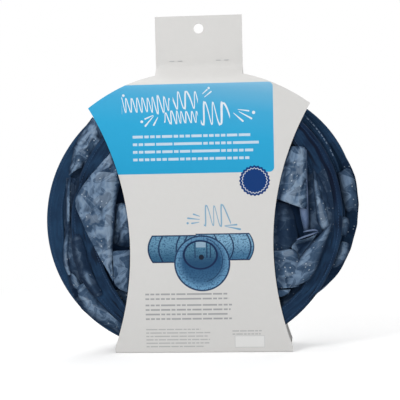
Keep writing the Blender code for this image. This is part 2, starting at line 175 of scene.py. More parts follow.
class Signal:
    """One output of a node, with arithmetic that adds nodes."""

    def __init__(self, paint, socket):
        self.paint = paint
        self.socket = socket

    __add__ = __radd__ = operator("ADD")
    __sub__ = operator("SUBTRACT")
    __rsub__ = operator("SUBTRACT", swapped=True)
    __mul__ = __rmul__ = operator("MULTIPLY")
    __truediv__ = operator("DIVIDE")
    __lt__ = operator("LESS_THAN")
    __gt__ = operator("GREATER_THAN")
    __abs__ = operator("ABSOLUTE")
    sin = operator("SINE")
    cos = operator("COSINE")
    floor = operator("FLOOR")
    fraction = operator("FRACT")
    least = operator("MINIMUM")
    most = operator("MAXIMUM")
    square_root = operator("SQRT")
    turned_from = operator("ARCTAN2")  # the angle in radians of the point (other, self)

    def square(self):
        return self * self

    def root(self):
        return self.most(0.0).square_root()

    def ramp(self, start, end):
        """0 below start, 1 above end and smooth between them."""
        settings = {"interpolation_type": "SMOOTHSTEP"}
        return self.paint.node("ShaderNodeMapRange", settings, {0: self, 1: start, 2: end}).out


class Step:
    """A node just made: its outputs by name, and the first one that carries its result."""

    def __init__(self, paint, node):
        self.paint = paint
        self.raw = node

    def __getitem__(self, name):
        return Signal(self.paint, self.raw.outputs[name])

    @property
    def out(self):
        return Signal(self.paint, next(socket for socket in self.raw.outputs if socket.enabled))


class Paint:
    """A new material whose nodes are made by one method."""

    def __init__(self, name, **surface):
        self.material = bpy.data.materials.new(name)
        self.material.use_nodes = True
        self.tree = self.material.node_tree
        self.shader = self.tree.nodes["Principled BSDF"]
        for socket, value in surface.items():
            self.set(socket.replace("_", " "), value)

    def node(self, kind, settings=None, values=None):
        made = self.tree.nodes.new(kind)
        for key, value in (settings or {}).items():
            if key == "stops":
                ramp = made.color_ramp
                while len(ramp.elements) < len(value):
                    ramp.elements.new(1.0)
                for element, (place, colour) in zip(ramp.elements, value):
                    element.position = place
                    element.color = colour
            else:
                setattr(made, key, value)
        for key, value in (values or {}).items():
            self.feed(made.inputs[key], value)
        return Step(self, made)

    def feed(self, socket, value):
        if isinstance(value, Step):
            value = value.out
        if isinstance(value, Signal):
            self.tree.links.new(value.socket, socket)
        elif socket.type == "VECTOR" and isinstance(value, (int, float)):
            socket.default_value = (value, value, value)
        else:
            socket.default_value = value

    def set(self, socket, value):
        self.feed(self.shader.inputs[socket], value)

    def mix(self, share, first, second):
        """Colour mix: the first where share is 0, the second where it is 1."""
        made = self.node("ShaderNodeMix", {"data_type": "RGBA"}, {"Factor": share})
        colours = [socket for socket in made.raw.inputs if socket.type == "RGBA"]
        self.feed(colours[0], first)
        self.feed(colours[1], second)
        return Signal(self, next(socket for socket in made.raw.outputs if socket.type == "RGBA"))

    def place(self):
        """Place in the object's own frame, in metres."""
        return self.node("ShaderNodeTexCoord")["Object"]

    def split(self, vector):
        """The three numbers of a vector or a colour."""
        parts = self.node("ShaderNodeSeparateXYZ", None, {0: vector})
        return parts["X"], parts["Y"], parts["Z"]

    def uv(self):
        return self.node("ShaderNodeUVMap", {"uv_map": UV_NAME}).out

    def join(self, x, y, z=0.0):
        return self.node("ShaderNodeCombineXYZ", None, {"X": x, "Y": y, "Z": z}).out

    def grain(self, where, size, detail=2.0, rough=0.5):
        """Noise of 0 to 1 with blotches of this size in metres."""
        return self.node("ShaderNodeTexNoise", None, {
            "Vector": where, "Scale": 1 / size, "Detail": detail, "Roughness": rough})["Fac"]

    def bump(self, height, depth, strength=1.0, under=None):
        """Bump of this depth in metres, on top of another bump where one is given."""
        values = {"Height": height, "Distance": depth, "Strength": strength}
        if under is not None:
            values["Normal"] = under
        return self.node("ShaderNodeBump", None, values).out


UV_NAME = "UV Map"
PAINTED_LIGHT_NAME = "openness"


def all_of(masks):
    """Union of masks."""
    total = masks[0]
    for mask in masks[1:]:
        total = total.most(mask)
    return total


def line_mask(apart, thin, wide):
    """1 on a line and 0 away from it, from the distance to it and where the fall starts and ends."""
    return 1 - abs(apart).ramp(thin, wide)


def screen(red, green, blue):
    """Linear colour of one given in 0 to 255 as a screen shows it."""
    return tuple(((level / 255 + 0.055) / 1.055) ** 2.4 if level > 10 else level / 3295
                 for level in (red, green, blue)) + (1.0,)


# %% [markdown]
# ## The floor
# One large plane under the pack, just under white. The lamps stand close, so a real floor would fall
# off to grey behind the pack. Away from the shadow, what the camera sees of it is therefore a plain
# white glow.

# %% Making an object


def add_object(name, builder, *materials):
    """An object in the scene from a finished bmesh."""
    made = bpy.data.meshes.new(name)
    builder.to_mesh(made)
    builder.free()
    for material in materials:
        made.materials.append(material)
    item = bpy.data.objects.new(name, made)
    bpy.context.scene.collection.objects.link(item)
    return item


# %% Floor
FLOOR_RADIUS = 6.0
FLOOR_Z = -0.0002
floor_paint = Paint("pale_floor", Base_Color=(0.86, 0.86, 0.86, 1), Roughness=1.0)
floor_paint.shader.inputs["Specular IOR Level"].default_value = 0.0
camera_ray = floor_paint.node("ShaderNodeLightPath")["Is Camera Ray"]
floor_x, floor_y, _ = floor_paint.split(floor_paint.place())
away = (floor_x.square() + floor_y.square()).root().ramp(*FLOOR_FADE)
floor_paint.shader.inputs["Emission Strength"].default_value = 1.0
floor_paint.set("Emission Color",
                floor_paint.mix(camera_ray, (0, 0, 0, 1), (FLOOR_GLOW,) * 3 + (1.0,)))
glow = floor_paint.node("ShaderNodeEmission", None, {"Color": (1, 1, 1, 1), "Strength": 1.0})
blend = floor_paint.node("ShaderNodeMixShader", None, {0: away * camera_ray})
links = floor_paint.tree.links
links.new(floor_paint.shader.outputs[0], blend.raw.inputs[1])
links.new(glow.raw.outputs[0], blend.raw.inputs[2])
links.new(blend.raw.outputs[0], floor_paint.tree.nodes["Material Output"].inputs["Surface"])
builder = bmesh.new()
bmesh.ops.create_circle(builder, cap_ends=True, segments=96, radius=FLOOR_RADIUS)
floor = add_object("floor", builder, floor_paint.material)
floor.location.z = FLOOR_Z

# %% [markdown]
# ## The coated board
# The sleeve is grey-backed board, coated and printed on its outer face. Its colour is a warm pale grey
# with the faintest mottle. The printed face carries a bright blue panel that runs off the left edge,
# pen scribbles, blocks of short bars laid out as copy is, a plain seal with a toothed edge and a
# drawing of the opened tunnel. All of it is worked out from the board's own coordinates.

# %% Printed board material
PANEL_RIGHT = 70.5 * MM
PANEL_LOW = 171.7 * MM
PANEL_HIGH = 256.4 * MM
board = Paint("printed_board", Roughness=0.42)
board.set("Specular IOR Level", 0.22)
x, y, z = board.split(board.place())
spread = board.join(x, z)
front_face = y < -0.4 * MM


def box_mask(left, right, low, high, soft=0.25 * MM, corner=0.0):
    """1 inside a rectangle of the board's face, with rounded corners where a radius is given."""
    beside = abs(x - (left + right) / 2) - ((right - left) / 2 - corner)
    above = abs(z - (low + high) / 2) - ((high - low) / 2 - corner)
    if corner:
        reach = (beside.most(0.0).square() + above.most(0.0).square()).root()
        return 1 - reach.ramp(corner - soft, corner + soft)
    return (1 - beside.ramp(-soft, soft)) * (1 - above.ramp(-soft, soft))


def reach_from(middle_x, middle_z):
    """Distance on the board's face from a point."""
    return ((x - middle_x).square() + (z - middle_z).square()).root()


def disc_mask(middle_x, middle_z, radius, soft=0.3 * MM):
    return 1 - reach_from(middle_x, middle_z).ramp(radius - soft, radius + soft)


def copy_mask(left, right, top, pitch, lines, height, ragged, gap_size, seed):
    """Lines of body copy as rows of short bars with gaps, from the top line down."""
    row = ((top - z) / pitch).floor()
    inside_row = ((top - z) / pitch).fraction()
    ink = line_mask(inside_row - 0.5, height / pitch / 2 - 0.04, height / pitch / 2 + 0.04)
    in_block = (row > -0.5) * (row < lines - 0.5)
    shake = board.node("ShaderNodeTexWhiteNoise", {"noise_dimensions": "1D"}, {"W": row + seed})["Value"]
    end = right - shake * ragged
    in_line = (x > left) * (x < end)
    cell = (x - left) / gap_size + (shake * 7.0).floor() + 0.25
    word = board.node("ShaderNodeTexWhiteNoise", {"noise_dimensions": "2D"},
                      {"Vector": board.join(cell.floor(), row + seed)})["Value"]
    broken = (cell.fraction() > 0.24).most(word > 0.62)
    return ink * in_block * in_line * broken


FACE_DEPTH = -25.1 * MM


def on_face(across, down):
    """Place on the board's face, as (x, z), that the camera sees at a point of its frame."""
    point = seen_at(across, down, FACE_DEPTH)
    return point.x, point.z


def stroke(start, end, thin, thick, soft=0.2 * MM):
    """Mask of one hand-drawn ray that thickens from its start to its end."""
    (first_x, first_z), (last_x, last_z) = on_face(*start), on_face(*end)
    run_x, run_z = last_x - first_x, last_z - first_z
    along = ((x - first_x) * run_x + (z - first_z) * run_z) / (run_x ** 2 + run_z ** 2)
    share = along.most(0.0).least(1.0)
    beside = ((x - first_x - share * run_x).square() + (z - first_z - share * run_z).square()).root()
    reach = beside - (share * (thick - thin) + thin) * (MM / 2)
    return 1 - reach.ramp(-soft, soft)


def scribble(left, top, right, bottom, pitch, thick=0.95 * MM):
    """Mask of a looping pen line that fills a bar."""
    first_x, high = on_face(left, top)
    last_x, low = on_face(right, bottom)
    size = (high - low) / 2
    turn_rate = 2 * math.pi / (pitch * MM)
    sway = board.grain(board.join(x, first_x), 12 * MM, 0.0) * (pitch * 0.9 * MM)
    phase = (x + sway + (z - low) * 0.14) * turn_rate
    height = (board.grain(board.join(x, first_x + 1.0), 7 * MM, 0.0) * 0.7 + 0.6) * size
    slope = phase.cos() * height * turn_rate
    apart = abs(z - (high + low) / 2 - phase.sin() * height) / (slope.square() + 1.0).root()
    return (1 - apart.ramp(thick * 0.35, thick * 0.65)) * (x > first_x) * (x < last_x)


def printed(under, *layers):
    """Lay inks over a colour one after the other, each through its own mask."""
    for mask, ink in layers:
        under = board.mix(mask, under, ink)
    return under


# %% Printed board material: panel, copy and seal
PANEL_CORNER = 4.5 * MM
SKY = ((0.0, (34, 163, 211)), (0.45, (44, 170, 218)), (0.7, (66, 173, 219)), (0.88, (104, 181, 219)),
       (1.0, (136, 192, 224)))
# Scribbled words: left, top, right and bottom in the camera's frame, then the loops' pitch in mm.
TITLE = ((121.5, 98.5, 170, 111.5, 5.0), (172.5, 91.5, 198, 109, 7.6, 1.15 * MM),
         (164, 112, 198, 122.5, 4.6), (200.5, 102.5, 230, 123.5, 9.4, 1.3 * MM))
# Rays: start, end, and the thickness at each in mm. Drops: place and radius in mm.
RAYS = (((202.5, 93.8), (207, 89.6), 0.5, 1.2), ((204.5, 97), (211, 91.6), 0.5, 1.3),
        ((153, 115.4), (145.2, 119), 0.5, 1.5), ((153.6, 116), (145.4, 126), 0.5, 1.6),
        ((157.8, 117.4), (153.8, 125), 0.5, 1.6), ((238, 109.4), (248.6, 110.8), 0.5, 1.4),
        ((239, 111.6), (251.4, 118.4), 0.5, 1.7), ((233.6, 113), (242.8, 121), 0.5, 1.7))
DROPS = (((141.8, 121.8), 1.3), ((253.6, 112.4), 1.5), ((123.3, 95.6), 1.2), ((208.6, 88), 1.1))
SEAL_TEETH = 24.0
FRAME_WIDTH = 0.5 * MM

white_ink = screen(240, 245, 249)
grey_ink = screen(120, 124, 130)
bleed = box_mask(-0.2, PANEL_RIGHT, PANEL_LOW, PANEL_HIGH, corner=PANEL_CORNER)
fade = (z - PANEL_LOW) / (PANEL_HIGH - PANEL_LOW)
sky = board.node("ShaderNodeValToRGB", {"stops": [(place, screen(*tone)) for place, tone in SKY]},
                 {0: fade * 0.86 + x * 1.3 + 0.05}).out
mottle = board.grain(spread, 6 * MM, 3.0)
paper = board.mix(mottle * 0.35, screen(222, 221, 219), screen(214, 213, 211))
title = all_of([scribble(*place) for place in TITLE])
rays = all_of([stroke(*ray) for ray in RAYS]
              + [disc_mask(*on_face(*place), radius * MM) for place, radius in DROPS])
copy_left, copy_top = on_face(132.6, 133.4)
lead = copy_mask(copy_left, 0.0565, copy_top, 0.00722, 4, 0.0025, 0.010, 0.0056, 3.0)

seal_x, seal_z = on_face(254.6, 180.6)
around = (z - seal_z).turned_from(x - seal_x)
seal_reach = reach_from(seal_x, seal_z) - (around * SEAL_TEETH).cos() * (0.45 * MM)
seal = 1 - seal_reach.ramp(13.9 * MM, 14.4 * MM)
ring = seal_reach.ramp(11.2 * MM, 11.4 * MM) * (1 - seal_reach.ramp(11.9 * MM, 12.1 * MM))

notes_left, notes_top = on_face(145.2, 292.2)
_, lower_top = on_face(145.2, 303.2)
_, small_top = on_face(145.2, 328)
notes = copy_mask(notes_left, 0.026, notes_top, 0.0045, 2, 0.0016, 0.006, 0.0050, 11.0)
notes = notes.most(copy_mask(notes_left, 0.030, lower_top, 0.0044, 4, 0.0016, 0.008, 0.0050, 23.0))
small = copy_mask(notes_left, 0.008, small_top, 0.0033, 6, 0.0011, 0.012, 0.0040, 37.0)
_, address_top = on_face(232.5, 329.4)
address = copy_mask(on_face(232.5, 331)[0], on_face(263, 331)[0], address_top,
                    0.0030, 2, 0.0011, 0.003, 0.0036, 53.0)
plain_left, plain_high = on_face(234.8, 335.6)
plain_right, plain_low = on_face(265, 347.2)
patch = box_mask(plain_left, plain_right, plain_low, plain_high)
frame_line = patch - box_mask(plain_left + FRAME_WIDTH, plain_right - FRAME_WIDTH,
                              plain_low + FRAME_WIDTH, plain_high - FRAME_WIDTH)
colour = printed(
    paper, (bleed, sky), (title * 0.92, white_ink), (rays * 0.92, white_ink),
    (lead * bleed * 0.66, white_ink), (seal, screen(0, 54, 118)), (ring * 0.75, white_ink),
    (notes * 0.62, grey_ink), (small.most(address) * 0.45, grey_ink),
    (patch * 0.8, screen(236, 236, 235)), (frame_line * 0.35, grey_ink))

# %% Printed board material: drawing of the opened tunnel
LEFT_HOOPS = (148, 158.4, 176, 183.2)
RIGHT_HOOPS = (218, 233.2, 250.6, 253.8)
STRUTS = (195, 206.8, 210.4)
SPARKS = (((199.6, 216.2), (193.6, 214.2), 0.6, 1.5), ((199.4, 219.4), (188, 218.2), 0.6, 1.6),
          ((199, 222.2), (192, 223.3), 0.6, 1.5), ((224.8, 225.6), (236.6, 224.6), 0.5, 1.5),
          ((225, 226.2), (240, 229.2), 0.5, 1.9))
line_ink = screen(8, 34, 74)
pale_ink = screen(92, 158, 196)
dapple = board.grain(spread, 1.7 * MM, 3.0, 0.7)


def arm_masks(left, top, right, bottom, hoops_at, side):
    """One arm of the drawn tunnel: its filled shape, its ink lines and its tone from 0 low to 1 high."""
    first_x, high = on_face(left, top)
    last_x, low = on_face(right, bottom)
    level = (z - (high + low) / 2) / ((high - low) / 2)
    bend = level.square() * (side * 4.6 * MM)
    swept = x + bend
    inside = (swept > min(first_x, last_x)) * (swept < max(first_x, last_x)) * (abs(level) < 1.0)
    marks = [line_mask(swept - on_face(place, top)[0], 0.5 * MM, 0.95 * MM) for place in hoops_at]
    edge = abs(level).ramp(0.88, 0.93)
    return inside, inside * all_of(marks + [edge]), (level * 0.5 + 0.5).ramp(0.1, 0.8)


def dappled(dark, pale, share):
    tone = board.mix(share, screen(*dark), screen(*pale))
    return board.mix(dapple.ramp(0.50, 0.58) * 0.7, tone, screen(26, 70, 108))


left_arm, left_lines, left_light = arm_masks(147.2, 235.6, 205, 262.4, LEFT_HOOPS, -1)
right_arm, right_lines, right_light = arm_masks(200, 233.6, 254.6, 260, RIGHT_HOOPS, 1)
colour = printed(
    colour, (left_arm, dappled((48, 96, 128), (104, 152, 182), left_light)),
    (left_lines * 0.9, line_ink), (right_arm, dappled((66, 116, 152), (132, 178, 208), right_light)),
    (right_lines * 0.9, line_ink))

mouth_x, mouth_z = on_face(202.2, 263.2)
mouth_reach = reach_from(mouth_x, mouth_z)
mouth = 1 - mouth_reach.ramp(26.6 * MM, 27 * MM)
down_share = ((mouth_z - z) / (26 * MM)).ramp(-0.2, 1.0)
mouth_light = mouth_reach.ramp(16 * MM, 26 * MM) * 0.75 + down_share * 0.25
seam_reach = ((x - mouth_x + 0.002).square() + (z - mouth_z - 0.003).square()).root()
seam_line = line_mask(seam_reach - 21.5 * MM, 0.25 * MM, 0.6 * MM) * (x > mouth_x + 0.004)
rim_line = line_mask(mouth_reach - 26.2 * MM, 0.6 * MM, 1.1 * MM)
colour = printed(
    colour, (mouth, dappled((26, 76, 116), (112, 164, 202), mouth_light)),
    (all_of([rim_line * 0.9, seam_line * 0.7]) * mouth, line_ink))

hub_x, hub_z = on_face(200.4, 254.8)
hub_reach = ((x - hub_x).square() + ((z - hub_z) * 1.18).square()).root()
hub = 1 - hub_reach.ramp(15.9 * MM, 16.2 * MM)
hub_light = ((z - hub_z) / (14 * MM)).ramp(-0.7, 0.9)
hub_line = line_mask(hub_reach - 15.8 * MM, 0.7 * MM, 1.2 * MM)
struts = all_of([line_mask(x - on_face(place, 250)[0], 0.35 * MM, 0.8 * MM) for place in STRUTS])
light_x, light_z = on_face(200.8, 244.6)
window = box_mask(light_x - 0.0046, light_x + 0.0046, light_z - 0.0026, light_z + 0.0026)
sparks = all_of([stroke(*spark) for spark in SPARKS] + [disc_mask(*on_face(187.7, 223.2), 1.1 * MM)])
word = scribble(203.5, 206, 231, 225, 8.6, 1.1 * MM)
colour = printed(
    colour, (hub, dappled((30, 74, 110), (86, 138, 166), hub_light)),
    (window * 0.6 * hub, screen(176, 200, 220)),
    (struts * hub * (z > hub_z - 0.003) * 0.8, line_ink), (hub_line, line_ink),
    (disc_mask(*on_face(201.4, 257.2), 2.5 * MM), screen(10, 24, 44)),
    (sparks * 0.85, pale_ink), (word * 0.8, pale_ink))

# %% Printed board material: faces, edge and fibres
rear_paper = board.mix(mottle * 0.35, screen(221, 220, 217), screen(212, 211, 208))
board.set("Base Color", board.mix(front_face, rear_paper, colour))
fibre = board.grain(spread, 0.7 * MM, 4.0, 0.7)
board.set("Roughness", 0.36 + 0.16 * fibre)
board.set("Normal", board.bump(fibre, 0.02 * MM, 0.5, board.bump(mottle, 0.25 * MM, 0.4)))

raw_edge = Paint("raw_board_edge", Base_Color=screen(176, 172, 164), Roughness=0.9)
edge_x, edge_y, edge_z = raw_edge.split(raw_edge.place())
plies = raw_edge.grain(raw_edge.join(edge_x * 0.2, edge_y * 6.0, edge_z * 0.2), 1.2 * MM, 3.0)
raw_edge.set("Base Color", raw_edge.mix(plies, screen(158, 153, 144), screen(196, 193, 186)))
print("board material has", len(board.tree.nodes), "nodes")

# %% [markdown]
# ## The folded card
# The card could be a box with thin walls, but a real sleeve is one sheet: it goes down the front, under
# the stack, up the back, and both ends close together into the header. So it is made as one sheet: rows
# of points down the sheet's length, each row as wide as the die-cut outline at that height. The stack
# behind pushes the panels out by less than a millimetre and the long edges curl a little. Solidify
# gives the thickness, and a Boolean punches the hang hole.

# %% The sheet's lines
BOARD_THICKNESS = 0.5 * MM
PANEL_Y = 24.75 * MM
PLY_Y = 0.4 * MM
TAB_HALF = 42 * MM
CORNER_HALF = 105.2 * MM
WAIST_HALF = 68.3 * MM
SHOULDER_RADIUS = 175.8 * MM
HOLE_RADIUS = 4.75 * MM
HOLE_DROP = 12.2 * MM
card_low, card_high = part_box("card_sleeve")
CARD_TOP = card_high.z
TAB_FOOT = CARD_TOP - 47 * MM
FLAT_TOP = TAB_FOOT - 0.89 * 24.5 * MM
CORNER_Z = 0.928 * FLAT_TOP
SHOULDER_Z = CORNER_Z - math.sqrt(SHOULDER_RADIUS ** 2 - CORNER_HALF ** 2)
WAIST_Z = 0.399 * FLAT_TOP
CHAMFER = 4.5 * MM


def smoothstep(share):
    share = min(max(share, 0.0), 1.0)
    return share * share * (3 - 2 * share)


def half_width(height):
    """Half the width of the die-cut outline at a height."""
    if height > CORNER_Z:
        arc = SHOULDER_RADIUS ** 2 - (height - SHOULDER_Z) ** 2
        return max(TAB_HALF, math.sqrt(max(arc, 0.0)))
    run = CORNER_HALF - WAIST_HALF
    rise = CORNER_Z - WAIST_Z
    bend = (run * run + rise * rise) / (2 * run)
    if height < WAIST_Z:
        bend *= 1.07
    half = WAIST_HALF + bend - math.sqrt(bend ** 2 - (height - WAIST_Z) ** 2)
    if height < CHAMFER:
        half -= 2.2 * MM * (1 - height / CHAMFER)
    return half


def panel_depth(height):
    """Distance of the sheet's middle from the pack's middle plane at a height."""
    share = (height - FLAT_TOP) / (TAB_FOOT - FLAT_TOP)
    return PANEL_Y + (PLY_Y - PANEL_Y) * smoothstep(share)


# %% Build the sheet
CREASE = 0.75 * MM
COLUMNS = 72
rows = [(-0.0, BOARD_THICKNESS / 2)]
for step in range(1, 5):
    rows.append((PANEL_Y - CREASE - (4 - step) * 5 * MM, BOARD_THICKNESS / 2))
for step in range(1, 5):
    swing = math.pi / 2 * step / 4
    rows.append((PANEL_Y - CREASE + CREASE * math.sin(swing),
                 BOARD_THICKNESS / 2 + CREASE * (1 - math.cos(swing))))
heights = [CHAMFER * 0.6, CHAMFER]
heights += [CHAMFER + (CORNER_Z - CHAMFER) * step / 44 for step in range(1, 45)]
arc_top = SHOULDER_Z + math.sqrt(SHOULDER_RADIUS ** 2 - TAB_HALF ** 2)
for step in range(1, 15):
    across = CORNER_HALF + (TAB_HALF - CORNER_HALF) * step / 14
    heights.append(SHOULDER_Z + math.sqrt(SHOULDER_RADIUS ** 2 - across ** 2))
heights += [arc_top + (CARD_TOP - arc_top) * step / 26 for step in range(1, 27)]
rows += [(panel_depth(height), height) for height in heights]


SWELL, CURL, WAVE = 0.7, 0.35, 0.25  # mm


def board_swell(across, height, side):
    """How far the stack pushes a panel out, with a slow wave that handling leaves in the board."""
    if height > FLAT_TOP:
        return 0.0
    half = half_width(height)
    crown = (1 - (across / half) ** 2) * math.sin(math.pi * min(height / FLAT_TOP, 1.0)) ** 0.6
    curl = (abs(across) / half) ** 6 * math.sin(math.pi * min(height / FLAT_TOP, 1.0))
    wave = noise.noise(Vector((across * 14, side * 3.1, height * 11)))
    return (SWELL * crown + CURL * curl * (1 + side * 0.4) + WAVE * wave * crown) * MM


def sheet_point(depth, height, side, share):
    across = share * half_width(max(height, 0.0))
    out = depth
    if depth > PANEL_Y - 0.1 * MM or height > 5 * MM:
        out += board_swell(across, height, side)
    return Vector((across, side * out, height))


builder = bmesh.new()
path = [(depth, height, -1) for depth, height in reversed(rows)]
path += [(depth, height, 1) for depth, height in rows[1:]]
grid = []
for depth, height, side in path:
    grid.append([builder.verts.new(sheet_point(depth, height, side, 2 * column / COLUMNS - 1))
                 for column in range(COLUMNS + 1)])
for row, following in zip(grid, grid[1:]):
    for column in range(COLUMNS):
        builder.faces.new((row[column], row[column + 1], following[column + 1], following[column]))
bmesh.ops.recalc_face_normals(builder, faces=builder.faces)
sleeve_board = add_object("sleeve_board", builder, board.material, raw_edge.material)
print("sleeve board:", len(sleeve_board.data.vertices), "points")

# %% Thickness, hang hole and finish


def apply_modifiers(item):
    """Replace an object's mesh by what its modifiers make of it."""
    graph = bpy.context.evaluated_depsgraph_get()
    made = bpy.data.meshes.new_from_object(item.evaluated_get(graph))
    item.modifiers.clear()
    item.data = made
    made.name = item.name
    return item


def thicken(item, thickness, offset=0.0):
    """Give a sheet its thickness. Offset 0 puts half on each side, -1 all of it on the inside."""
    thick = item.modifiers.new("thickness", "SOLIDIFY")
    thick.thickness = thickness
    thick.offset = offset
    return thick


thick = thicken(sleeve_board, BOARD_THICKNESS)
thick.use_even_offset = True
thick.material_offset_rim = 1
builder = bmesh.new()
upright = Matrix.Translation((0, 0, CARD_TOP - HOLE_DROP)) @ Matrix.Rotation(math.pi / 2, 4, "X")
bmesh.ops.create_cone(builder, cap_ends=True, segments=64, radius1=HOLE_RADIUS, radius2=HOLE_RADIUS,
                      depth=20 * MM, matrix=upright)
punch = add_object("punch", builder, raw_edge.material)
hole = sleeve_board.modifiers.new("hang_hole", "BOOLEAN")
hole.operation = "DIFFERENCE"
hole.object = punch
hole.material_mode = "TRANSFER"
apply_modifiers(sleeve_board)
bpy.data.objects.remove(punch, do_unlink=True)
sleeve_board.data.shade_smooth()
sleeve_board.data.set_sharp_from_angle(angle=math.radians(35))
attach(sleeve_board, "sleeve")
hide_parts("card_sleeve")

# %% [markdown]
# ## Steel
# The staples are zinc-plated wire and the hoops drawn spring wire. Drawn wire has fine marks along its
# length, so the roughness and a slight bump come from noise. The CAD shapes are right and stay.

# %% Steel material


def steel(name, tint, roughness):
    paint = Paint(name, Base_Color=screen(*tint), Metallic=1.0, Roughness=roughness)
    marks = paint.grain(paint.place(), 0.6 * MM, 4.0, 0.65)
    paint.set("Roughness", roughness + 0.2 * marks)
    paint.set("Normal", paint.bump(marks, 0.02 * MM, 0.4))
    return paint.material


zinc_wire = steel("zinc_plated_wire", (190, 192, 196), 0.28)
spring_wire = steel("drawn_spring_wire", (168, 170, 174), 0.3)
for part in frame["record"]["subparts"]:
    if part["material_slot"] in ("staple_wire", "spring_wire"):
        node = frame["nodes"][part["node"]]
        node.data.materials.clear()
        node.data.materials.append(zinc_wire if part["material_slot"] == "staple_wire" else spring_wire)
        node.data.shade_smooth()

# %% [markdown]
# ## The hoops
# Each hoop is an ellipse, a circle of spring wire that the pack has squashed by a few per cent along a
# leaning line. Its middle comes from the casing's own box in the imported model, and two numbers give the
# squash and the lean. Everything sewn to a hoop is laid out from it.

# %% Hoop shapes
CASING_RADIUS = 128 * MM
HOOP_SHAPES = {
    "front_mouth": (0.020, 25),
    "front_middle": (0.013, 37),
    "front_hub": (0.021, 32),
    "left_hub": (0.050, 22),
    "left_middle": (0.012, 10),
    "left_mouth": (0.030, 29),
    "right_mouth": (0.012, 5),
    "right_middle": (0.053, 20),
    "right_hub": (0.031, 20),
}


class Hoop:
    def __init__(self, name, squash, lean):
        low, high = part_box(f"{name}_casing")
        self.name = name
        self.centre = (Vector(low) + Vector(high)) / 2
        self.y = self.centre.y
        double = math.radians(2 * lean)
        self.wide = 1 + squash * math.cos(double)
        self.low = 1 - squash * math.cos(double)
        self.skew = squash * math.sin(double)

    def point(self, radius, angle, depth=0.0):
        """Point at a radius of the unsquashed hoop, at a depth behind its own plane."""
        across = radius * math.cos(angle)
        up = radius * math.sin(angle)
        return Vector((self.centre.x + self.wide * across + self.skew * up, self.y + depth,
                       self.centre.z + self.skew * across + self.low * up))


hoops = {name: Hoop(name, *shape) for name, shape in HOOP_SHAPES.items()}

# %% [markdown]
# ## The tape
# Each wire runs in a channel of navy polyester tape, folded over it and stitched down to the cloth. The
# weave is a fine rib across the tape. Handling leaves paler, rubbed streaks along it, and its creases are
# sunk in the bump and painted darker as shade. The hem is stitched in rows, one hoop shows a stretch of
# pale thread, and the mouth hoop's tape has a line pressed into it at the right, where the ply beneath
# ends: the line is painted near black as a shadow, with a broad band of painted shade beside it.

# %% Navy tape material
PLY_LENGTH = 33.6
HEM_ROWS = (2.0, 12.4, PLY_LENGTH - 2.0, PLY_LENGTH - 12.4)
PALE_ROW = 14.7
PALE_FROM, PALE_TO = 0.052, 0.100
VALLEY = 10.6


def valley_row(along, paint):
    """Where the pressed-in line runs across the tape: it wanders a little along the way."""
    return VALLEY * MM + (paint.grain(paint.join(along, 0.0), 26 * MM, 1.0) - 0.5) * (3.0 * MM)


def tape_finish(name, dark, pale, thread=(52, 76, 108), edge_thread=None, crease_depth_and_shade=0.25, valley_shade=False):
    paint = Paint(name, Roughness=0.78)
    paint.set("Specular IOR Level", 0.12)
    paint.set("Sheen Weight", 0.04)
    paint.set("Sheen Roughness", 0.5)
    where = paint.uv()
    along, across, _ = paint.split(where)
    rub = paint.grain(paint.join(along * 0.16, across), 2.4 * MM, 4.0, 0.6)
    patch = paint.grain(where, 18 * MM, 2.0)
    tone = (rub * 0.6 + patch * 0.4).ramp(0.34, 0.7)
    rib = (along * (2 * math.pi / (0.9 * MM))).sin()
    cross = (across * (2 * math.pi / (0.7 * MM))).sin()
    weave = rib * cross

    def stitches(row, width=0.5, pitch=3.0):
        dash = abs((along / (pitch * MM)).fraction() - 0.5)
        thread = line_mask(across - row * MM, width * 0.35 * MM, width * 0.7 * MM)
        return thread * (1 - dash.ramp(0.3, 0.36))

    colour = paint.mix(weave * 0.08 + tone * 0.9 + 0.04, screen(*dark), screen(*pale))
    # Painted shade: crease lines are darkened toward a near-black navy, as much as the crease parameter
    # says; the same parameter sinks them in the bump.
    fold = paint.grain(paint.join(along * 0.1 + 3.0, across), 3.6 * MM, 2.0).ramp(0.55, 0.66)
    colour = paint.mix(fold * crease_depth_and_shade, colour, screen(9, 20, 36))
    seam = all_of([stitches(row) for row in HEM_ROWS])
    colour = paint.mix(seam * 0.8, colour, screen(*thread))
    if edge_thread:
        worn = paint.grain(paint.join(along, 0.0), 6 * MM, 1.0).ramp(0.4, 0.5)
        bare = (along > PALE_FROM) * (along < PALE_TO) * worn
        colour = paint.mix(stitches(PALE_ROW, 0.9, 4.3) * bare * 0.85, colour, screen(*edge_thread))
    # Painted shade: over the first stretch of the hoop, a broad band of the tape beyond the pressed line
    # is darkened, and the line itself is painted near black as its shadow.
    if valley_shade:
        there = along.ramp(0.0, 0.02) * (1 - along.ramp(0.10, 0.135))
        line = across - valley_row(along, paint)
        shaded = line.ramp(-0.4 * MM, 0.8 * MM) * (1 - line.ramp(9 * MM, 12 * MM))
        colour = paint.mix(shaded * there * 0.5, colour, screen(6, 24, 52))
        groove_shadow_line = line_mask(line, 0.5 * MM, 1.5 * MM)
        colour = paint.mix(groove_shadow_line * there * 0.85, colour, screen(2, 10, 32))
    paint.set("Base Color", colour)
    paint.set("Roughness", 0.7 + 0.18 * rub)
    lumps = paint.bump(rub - fold * crease_depth_and_shade, 0.6 * MM, 0.7)
    sunk = paint.bump(seam, 0.15 * MM, 0.6, lumps)
    paint.set("Normal", paint.bump(weave, 0.05 * MM, 0.5, sunk))
    return paint.material


navy_tape = tape_finish("navy_tape", (24, 49, 77), (34, 66, 97), crease_depth_and_shade=0.12)
rubbed_tape = tape_finish("rubbed_tape", (17, 40, 66), (36, 66, 96), edge_thread=(124, 144, 168))
creased_tape = tape_finish("creased_tape", (15, 36, 61), (33, 62, 92), crease_depth_and_shade=0.75, valley_shade=True)
print("tape and steel ready")

